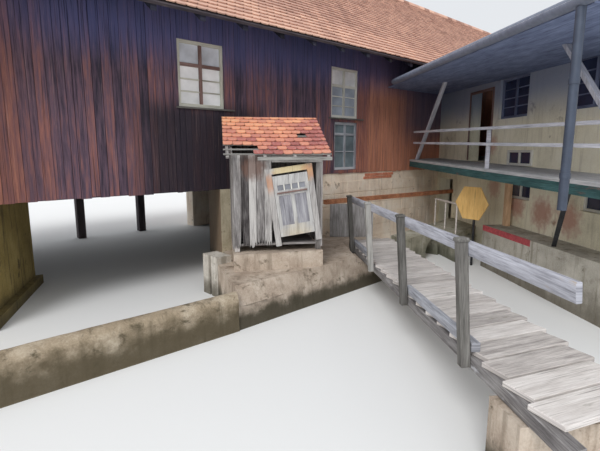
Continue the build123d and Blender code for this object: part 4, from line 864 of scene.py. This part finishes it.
for node, look, slot, cell, depth in (
    ("plinth", "concrete", "concrete", 0.14, 0.016),
    ("slotted_block", "block", "concrete", 0.1, 0.008),
    ("divider_wall", "divider", "concrete", 0.16, 0.018),
    ("culvert", "culvert", "concrete", 0.16, 0.012),
    ("left_pier", "pier", "masonry", 0.2, 0.01),
    ("left_abutment", "pier", "masonry", 0.25, 0.012),
    ("near_abutment", "concrete", "concrete", 0.14, 0.012),
):
    dress(node, UP, look, 0.0, cell, depth)


def dark_part(piece, test):
    """Give the faces that pass a test the dark look of the brace."""
    piece.data.materials.append(MAT["brace"])
    for polygon in piece.data.polygons:
        if test(polygon.center):
            polygon.material_index = 1


dark_part(
    dress("gallery_props", UP, "pink_timber", 0.004),
    lambda centre: (centre - wing_point(0, 0, 0)).dot(WING_ALONG) > 5.5,
)
dark_part(dress("hexagon_board", UP, "ply", 0.002), lambda centre: centre.z < 1)

for look, painted in (
    ("middle_pier", ("middle_pier",)),
    ("masonry", ("base_front_wall", "base_back_wall")),
    ("galvanised", ("culvert_railing",)),
    ("rust", ("steel_beam",)),
    ("walkway", ("walkway",)),
    ("pipe", ("downpipe",)),
    ("zinc", ("wing_gutter",)),
    ("plaster", ("wing_wall_left", "wing_wall_right", "wing_wall_under_door", "wing_wall_over_door")),
    ("outer_plaster", ("wing_back_wall", "wing_end_wall")),
    ("tiles", ("wing_roof_front", "wing_roof_back")),
    ("boards", ("hall_front_wall", "hall_back_wall", "hall_gables")),
    ("dark_timber", ("hall_floor",)),
):
    for node in painted:
        for material_slot in NODES[node].material_slots:
            material_slot.material = MAT[look]


# Windows

PANE_BACK = 0.033
PANE_THICK = 0.005
BAR_HALF = 0.011
REVEAL = 0.06


class Sash:
    """Wooden window: a frame, its middle parts, thin bars and panes, each in its own paint."""

    def __init__(self):
        self.frame, self.middle, self.bars, self.low, self.top = (Shape() for _ in range(5))

    def fit(self, corner, across, out, width, height, transom, rows, face=0.06, depth=0.07):
        """Frame set inward from its corner, with rows of panes under a transom where it has one."""
        corner = Vector(corner)

        def bar(shape, x0, x1, z0, z1, front, thick):
            start = corner + across * x0 + UP * z0 - out * front
            shape.slat(start, UP * (z1 - z0), across * (x1 - x0), -out * thick, RNG.random())

        light = (width - 3 * face) / 2
        second = 2 * face + light
        low = height * (1 - transom) - 1.5 * face if transom else height - 2 * face
        bar(self.frame, 0, face, 0, height, 0, depth)
        bar(self.frame, width - face, width, 0, height, 0, depth)
        bar(self.frame, face, width - face, 0, face, 0, depth)
        bar(self.frame, face, width - face, height - face, height, 0, depth)
        bar(self.middle, face + light, second, face, height - face, 0.002, depth - 0.004)
        if transom:
            for x0 in (face, second):
                bar(self.middle, x0, x0 + light, face + low, 2 * face + low, 0.004, depth - 0.008)
        for x0 in (face, second):
            bar(self.low, x0, x0 + light, face, face + low, PANE_BACK, PANE_THICK)
            for row in range(1, rows):
                z = face + low * row / rows
                bar(self.bars, x0, x0 + light, z - BAR_HALF, z + BAR_HALF, 0.014, 0.018)
            if transom:
                bar(self.top, x0, x0 + light, 2 * face + low, height - face, PANE_BACK, PANE_THICK)

    def make(self, name, looks, replaces=()):
        shapes = (self.frame, self.middle, self.bars, self.low, self.top)
        parts = ("frame", "middle", "bars", "panes", "upper_panes")
        for shape, part, look in zip(shapes, parts, looks):
            if shape.faces:
                bevel = 0.002 if part in ("frame", "middle") else 0.0
                shape.make(name + "_" + part, look, "window_frames", replaces=replaces, bevel=bevel)
                replaces = ()


def hall_sashes():
    """Windows of the hall, the hatch below one of them, and two sills."""
    face = (WINDOW_W, WINDOW_H, 0.36, 3)
    west = Sash()
    for x, _, sill, _ in hall_windows((-1, 0)):
        west.fit((x, WINDOW_INSET, sill), EAST, -NORTH, *face)
    looks = ("frame_paint", "brown_paint", "frame_paint", "milky_panes", "half_panes")
    west.make("west_windows", looks, ("hall_windows",))
    east = Sash()
    east.fit((WINDOW_FIRST + WINDOW_PITCH, WINDOW_INSET, WINDOW_SILL), EAST, -NORTH, *face)
    for x, _, sill, _ in BACK_OPENINGS:
        east.fit((x + WINDOW_W, HALL_WIDTH - WINDOW_INSET, sill), -EAST, NORTH, *face)
    east.make("east_windows", ("pale_bars",) * 3 + ("blue_panes", "grey_panes"))
    hatch = Sash()
    hatch.fit((HATCH_X - HATCH_W / 2, WINDOW_INSET, HATCH_SILL), EAST, -NORTH, HATCH_W, HATCH_H, 0.25, 2)
    hatch.make("hatch", ("kerb",) * 3 + ("hatch_panes",) * 2)
    sills = Shape()
    for x0, x1 in ((-1.12, 0.1), (2.8, 4.02)):
        sills.board((x0, -0.075, WINDOW_SILL - 0.035), EAST * (x1 - x0), NORTH * 0.075, UP * 0.03, 0.3)
    sills.make("hall_sills", "post", "window_frames", bevel=0.003)


def wing_sashes():
    """Four panes high on the gallery, two panes wide below it."""
    width = 1.15
    sill = 3.33
    upper = Sash()
    face = (width, 0.9, 0.0, 4)
    for s in (4.05, 6.45):
        upper.fit(wing_point(s - width / 2, REVEAL, sill), WING_ALONG, -WING_IN, *face)
        upper.fit(wing_point(s + width / 2, WING_DEPTH - REVEAL, sill), -WING_ALONG, WING_IN, *face)
    upper.make("wing_upper_windows", ("blue_bars",) * 3 + ("dark_panes",) * 2, ("wing_windows",))
    lower = Sash()
    for s in (4.5, 6.9):
        lower.fit(wing_point(s - 0.45, REVEAL, 1.56), WING_ALONG, -WING_IN, 0.9, 0.36, 0.0, 1, 0.05)
    lower.fit(wing_point(4.05, -0.045, 2.29), WING_ALONG, -WING_IN, 0.92, 0.33, 0.0, 1, 0.05, 0.043)
    lower.make("wing_lower_windows", ("pale_bars",) * 3 + ("dark_panes",) * 2)


hall_sashes()
wing_sashes()


# Hut

HUT_W = 1.5
HUT_FRONT_W = 0.64
HUT_OUT = 0.17
HUT_SIDE_OUT = 0.15
HUT_BOARD = 0.026
HUT_EAVES = 2.56
HUT_RAFTER = 0.04
HUT_HEAD = HUT_EAVES - HUT_BOARD * math.tan(HUT_PITCH) - 0.001


def hut_tiles():
    """Sagging rows with two lost places, the laths under them, and a board at the eave."""
    eave = HUT_EAVES + HUT_RAFTER - HUT_OUT * math.tan(HUT_PITCH)
    up = HUT_AWAY * math.cos(HUT_PITCH) + UP * math.sin(HUT_PITCH)
    normal = UP * math.cos(HUT_PITCH) - HUT_AWAY * math.sin(HUT_PITCH)
    origin = hut_point(-HUT_SIDE_OUT, -HUT_OUT, eave + 0.045 / math.cos(HUT_PITCH))
    width = HUT_W + 2 * HUT_SIDE_OUT

    def keep(up_share, along_share):
        bare = along_share < 0.29 and up_share < 0.2
        lost = 0.75 < along_share < 0.8 and 0.4 < up_share < 0.5
        return not (bare or lost)

    def shade(up_share, along_share, tone):
        warm = 0.55 * up_share + 0.3 * (1 - along_share)
        return 0.16 + 0.42 * tone + 0.52 * warm

    tiles = Shape()
    rise = 1.32 / math.cos(HUT_PITCH)
    tile_field(tiles, origin, HUT_RIGHT, up, normal, width, rise, HUT_TILE, 17, shade, keep, 0.035, 0.016)
    tiles.make("hut_tiles", "hut_tiles", "hut_tiles", replaces=("hut_roof",), bevel=0.002)
    laths = Shape()
    for n in range(9):
        start = hut_point(-HUT_SIDE_OUT, -HUT_OUT, eave) + up * (0.05 + n * 0.165) + normal * 0.001
        laths.board(start, HUT_RIGHT * width, up * 0.035, normal * 0.014, 0.7)
    laths.board(hut_point(0.4, -0.168, eave - 0.062), HUT_RIGHT * 1.25, UP * 0.058, HUT_AWAY * 0.016, 0.8)
    laths.make("hut_laths", "post", "hut_boards", bevel=0.002)


def ragged_foot(rng, left, right, foot):
    """Points across a worn board end, from right to left."""
    count = 6
    points = []
    for k in range(count + 1):
        depth = rng.uniform(0, 0.13) * (0.3 + 0.7 * (k % 2))
        points.append(hut_point(right + (left - right) * k / count, 0, foot + depth))
    return points


def hut_front():
    """Five worn boards left of the door, and a board across above it."""
    rng = random.Random(21)
    shape = Shape()
    count = 5
    step = HUT_FRONT_W / count
    for n in range(count):
        foot = 0.95 + 0.07 * (n * 3 % 5) / 5
        left, right = step * n + 0.0015, step * (n + 1) - rng.uniform(0.002, 0.006)
        low_left = left + (0.022 if n == 1 else 0.002)
        low_right = right - (0.022 if n == 0 else 0.002)
        outline = [hut_point(x, 0, z) for x, z in ((left, HUT_HEAD), (right, HUT_HEAD), (right, 1.55))]
        outline += ragged_foot(rng, low_left, low_right, foot)
        outline.append(hut_point(left, 0, 1.55))
        shape.prism(outline, -HUT_AWAY * HUT_BOARD, UP, rng.random())
    left = HUT_FRONT_W + 0.003
    foot = HUT_HEAD - 0.13
    corners = ((left, foot), (HUT_W, foot), (HUT_W, HUT_HEAD), (left, HUT_HEAD))
    shape.prism([hut_point(x, 0, z) for x, z in corners], -HUT_AWAY * HUT_BOARD, HUT_RIGHT, 0.8)
    shape.make("hut_front_finish", "hut_front", "hut_boards", replaces=("hut_front_boards",), bevel=0.0015)


def door_board(shape, u0, u1, v0, v1, out, thick, tone):
    """Board on the leaf."""
    shape.slat(door_point(u0, v0, out), DOOR_UP * (v1 - v0), DOOR_X * (u1 - u0), -HUT_AWAY * thick, tone)


def door_details():
    """Blue-grey panels, dark lights between white bars, and a ledge on the leaf, dark with painted shade."""
    stile = 0.062
    width = 0.598
    bar = 0.022
    sunk = 0.0322
    proud = 0.0441
    clear = 0.001
    foot, head = 0.341, 0.849
    light_foot, light_head = 0.941, 1.029
    over = 0.003
    panels = Shape()
    half = (width - 3 * stile) / 4 - clear
    for side in (-1, 1):
        middle = side * (width - stile) / 4
        door_board(panels, middle - half, middle + half, foot, head, sunk, 0.003, 0.5)
    panels.make("door_panels", "door_panels", "door_paint", body="hut_door")
    light = (width - 2 * stile - 3 * bar) / 4
    lights = Shape()
    bars = Shape()
    for n in range(4):
        middle = (n - 1.5) * (light + bar)
        half = light / 2 - clear
        door_board(lights, middle - half, middle + half, light_foot, light_head, sunk, 0.002, 0.5)
        if n:
            edge = middle - light / 2 - bar / 2
            ends = (light_foot - over, light_head + over)
            door_board(bars, edge - 0.009, edge + 0.009, *ends, proud, 0.002, 0.7)
    lights.make("door_lights", "door_glass", "door_paint", body="hut_door")
    bars.make("door_bars", "pale_bars", "door_paint", body="hut_door")
    # Painted shade: the ledge is dark, as in its shadow.
    ledge = Shape()
    door_board(ledge, -0.262, 0.262, 0.8835, 0.9125, proud, 0.019, 0.4)
    ledge.make("door_ledge", "brown_paint", "door_paint", body="hut_door", bevel=0.004)


hut_tiles()
hut_front()
door_details()


# Masonry and wing details

BLOCK_PROUD = 0.012
BLOCKS_TOP = 1.86


def base_blocks():
    """Squared blocks in courses under the hall's boards."""
    rng = random.Random(31)
    shape = Shape()
    rows = 6
    length = 5.7
    course = BLOCKS_TOP / rows
    gap = 0.016
    for row in range(rows):
        x = -rng.uniform(0.0, 0.25)
        while x < length:
            size = rng.uniform(0.34, 0.62)
            x0, x1 = max(x, 0.0), min(x + size - gap, length)
            if x1 - x0 > 0.06:
                corner = Vector((STEP_X + x0, 0, row * course))
                shape.board(corner, EAST * (x1 - x0), UP * (course - gap), -NORTH * BLOCK_PROUD, rng.random())
            x += size
    shape.make("base_blocks", "masonry", "masonry", bevel=0.006)


def wing_tiles():
    """Tiles on both slopes of the wing, left out where the hall's roof stands."""
    pitch = math.radians(22.0)
    rise = (WING_ROOF_OUT + WING_ROOF_BACK) / 2 / math.cos(pitch)
    first, last = -2.8, 9.33
    thick = 0.09
    space = 0.16
    across = (WING_ALONG - UP * WING_FALL).normalized()
    low = WING_EAVES_Z - WING_FALL * first + thick / math.cos(pitch)
    clear = ROOF_THICK / math.cos(ROOF_PITCH) + space
    shape = Shape()
    for t0, inward, seed in ((-WING_ROOF_OUT, WING_IN, 41), (WING_ROOF_BACK, -WING_IN, 42)):
        up = inward * math.cos(pitch) + UP * math.sin(pitch)
        normal = UP * math.cos(pitch) - inward * math.sin(pitch)
        origin = wing_point(first, t0, low) + normal * WING_TILE[2]

        def keep(up_share, along_share):
            middle = origin + across * ((last - first) * along_share) + up * (rise * up_share)
            inside = middle.y > -EAVES_OUT - space and middle.z < soffit(middle.y) + clear
            return not inside and middle.y < HALL_WIDTH / 2

        tile_field(shape, origin, across, up, normal, last - first, rise, WING_TILE, seed, low_courses, keep)
    shape.make("wing_tiles", "tiles", "roof_tiles")


def brick_strip():
    """Two rows of bricks left between the blocks and the boards."""
    rng = random.Random(32)
    shape = Shape()
    length, height, joint = 0.235, 0.068, 0.01
    for row in range(2):
        x = 4.14 + 0.06 * row
        while x < 5.2:
            corner = (x, 0.0, BLOCKS_TOP + joint + row * (height + joint))
            shape.board(corner, EAST * length, UP * height, -NORTH * BLOCK_PROUD, rng.random())
            x += length + 0.012
    shape.make("brick_strip", "brick", "masonry", bevel=0.003)


def wing_details():
    """Painted kerb, eave board, gutter lip, pipe collars and the lining of the gallery's doorway."""
    kerb = Shape()
    kerb.board(wing_point(4.24, -0.604, 0.825), WING_ALONG * 1.8, WING_IN * 0.022, UP * 0.127, 0.5)
    kerb.make("walkway_kerb", "kerb_paint", "concrete", bevel=0.006)
    along = WING_ALONG + Vector((0, 0, -WING_FALL))
    first = 2.6
    fascia = Shape()
    start = wing_point(first, -WING_ROOF_OUT, WING_EAVES_Z - WING_FALL * first + 0.012)
    fascia.board(start, along * 6.6, WING_IN * 0.018, UP * 0.075, 0.6)
    fascia.make("wing_fascia", "kerb", "gallery_timber", bevel=0.002)
    first = 2.56
    lip = Shape()
    start = wing_point(first, -2.3395, 4.357 - WING_FALL * first)
    lip.board(start, along * 6.7, WING_IN * 0.01, UP * 0.01, 0.5)
    lip.make("gutter_lip", "pale_zinc", "grey_metal")
    collars = Shape()
    radius = 0.056
    turns = [k * math.pi / 10 for k in range(20)]
    for z in (2.3, 3.3):
        middle = wing_point(9.15, -2.2703, z)
        ring = [middle + (EAST * math.cos(a) + NORTH * math.sin(a)) * radius for a in turns]
        collars.prism(ring, UP * 0.06, UP, 0.5)
    collars.make("pipe_collars", "pipe", "grey_metal", bevel=0.002)
    lining = Shape()
    head = 4.12
    thick = 0.012
    for s0, s1, z0 in ((1.975, 2.045, 2.36), (3.155, 3.225, 2.34), (2.045, 3.155, 4.05)):
        corner = wing_point(s0, -thick, z0)
        lining.slat(corner, WING_ALONG * (s1 - s0), UP * (head - z0), WING_IN * thick, 0.5)
    lining.make("doorway_lining", "brown_paint", "gallery_timber", bevel=0.002)


base_blocks()
brick_strip()
wing_tiles()
wing_details()


# Stage, light and camera


def stage():
    mesh = bpy.data.meshes.new("floor")
    far = 120.0
    corners = [(-far, -far, 0), (far, -far, 0), (far, far, 0), (-far, far, 0)]
    mesh.from_pydata(corners, [], [(0, 1, 2, 3)])
    Web("floor_paint").finish((0.8, 0.8, 0.79), None, 0.9)
    mesh.materials.append(MAT["floor_paint"])
    add("floor", mesh)


def lights():
    world = bpy.data.worlds.new("studio")
    bpy.context.scene.world = world
    world.use_nodes = True
    tree = world.node_tree
    background = tree.nodes["Background"]
    background.inputs["Color"].default_value = (0.93, 0.96, 1.0, 1)
    background.inputs["Strength"].default_value = 0.85
    for name, strength, size, turn, tilt in (
        ("key", 1.7, 25, -62, 48), ("fill", 0.35, 60, 60, 65), ("low", 0.6, 40, -80, 80)
    ):
        sun = bpy.data.lights.new(name, "SUN")
        sun.energy = strength
        sun.angle = math.radians(size)
        add(name, sun).rotation_euler = (math.radians(tilt), 0, math.radians(turn))


def camera():
    lens = bpy.data.cameras.new("camera")
    lens.sensor_fit = "HORIZONTAL"
    lens.sensor_width = SENSOR
    lens.lens = FOCAL_PX / FRAME_W * SENSOR
    lens.clip_start = 0.05
    lens.clip_end = 400
    eye = add("camera", lens)
    eye.location = EYE
    eye.rotation_euler = (math.radians(90 - PITCH), 0, math.radians(-BEARING))
    bpy.context.scene.camera = eye


stage()
lights()
camera()
bpy.context.scene.view_settings.view_transform = "Standard"
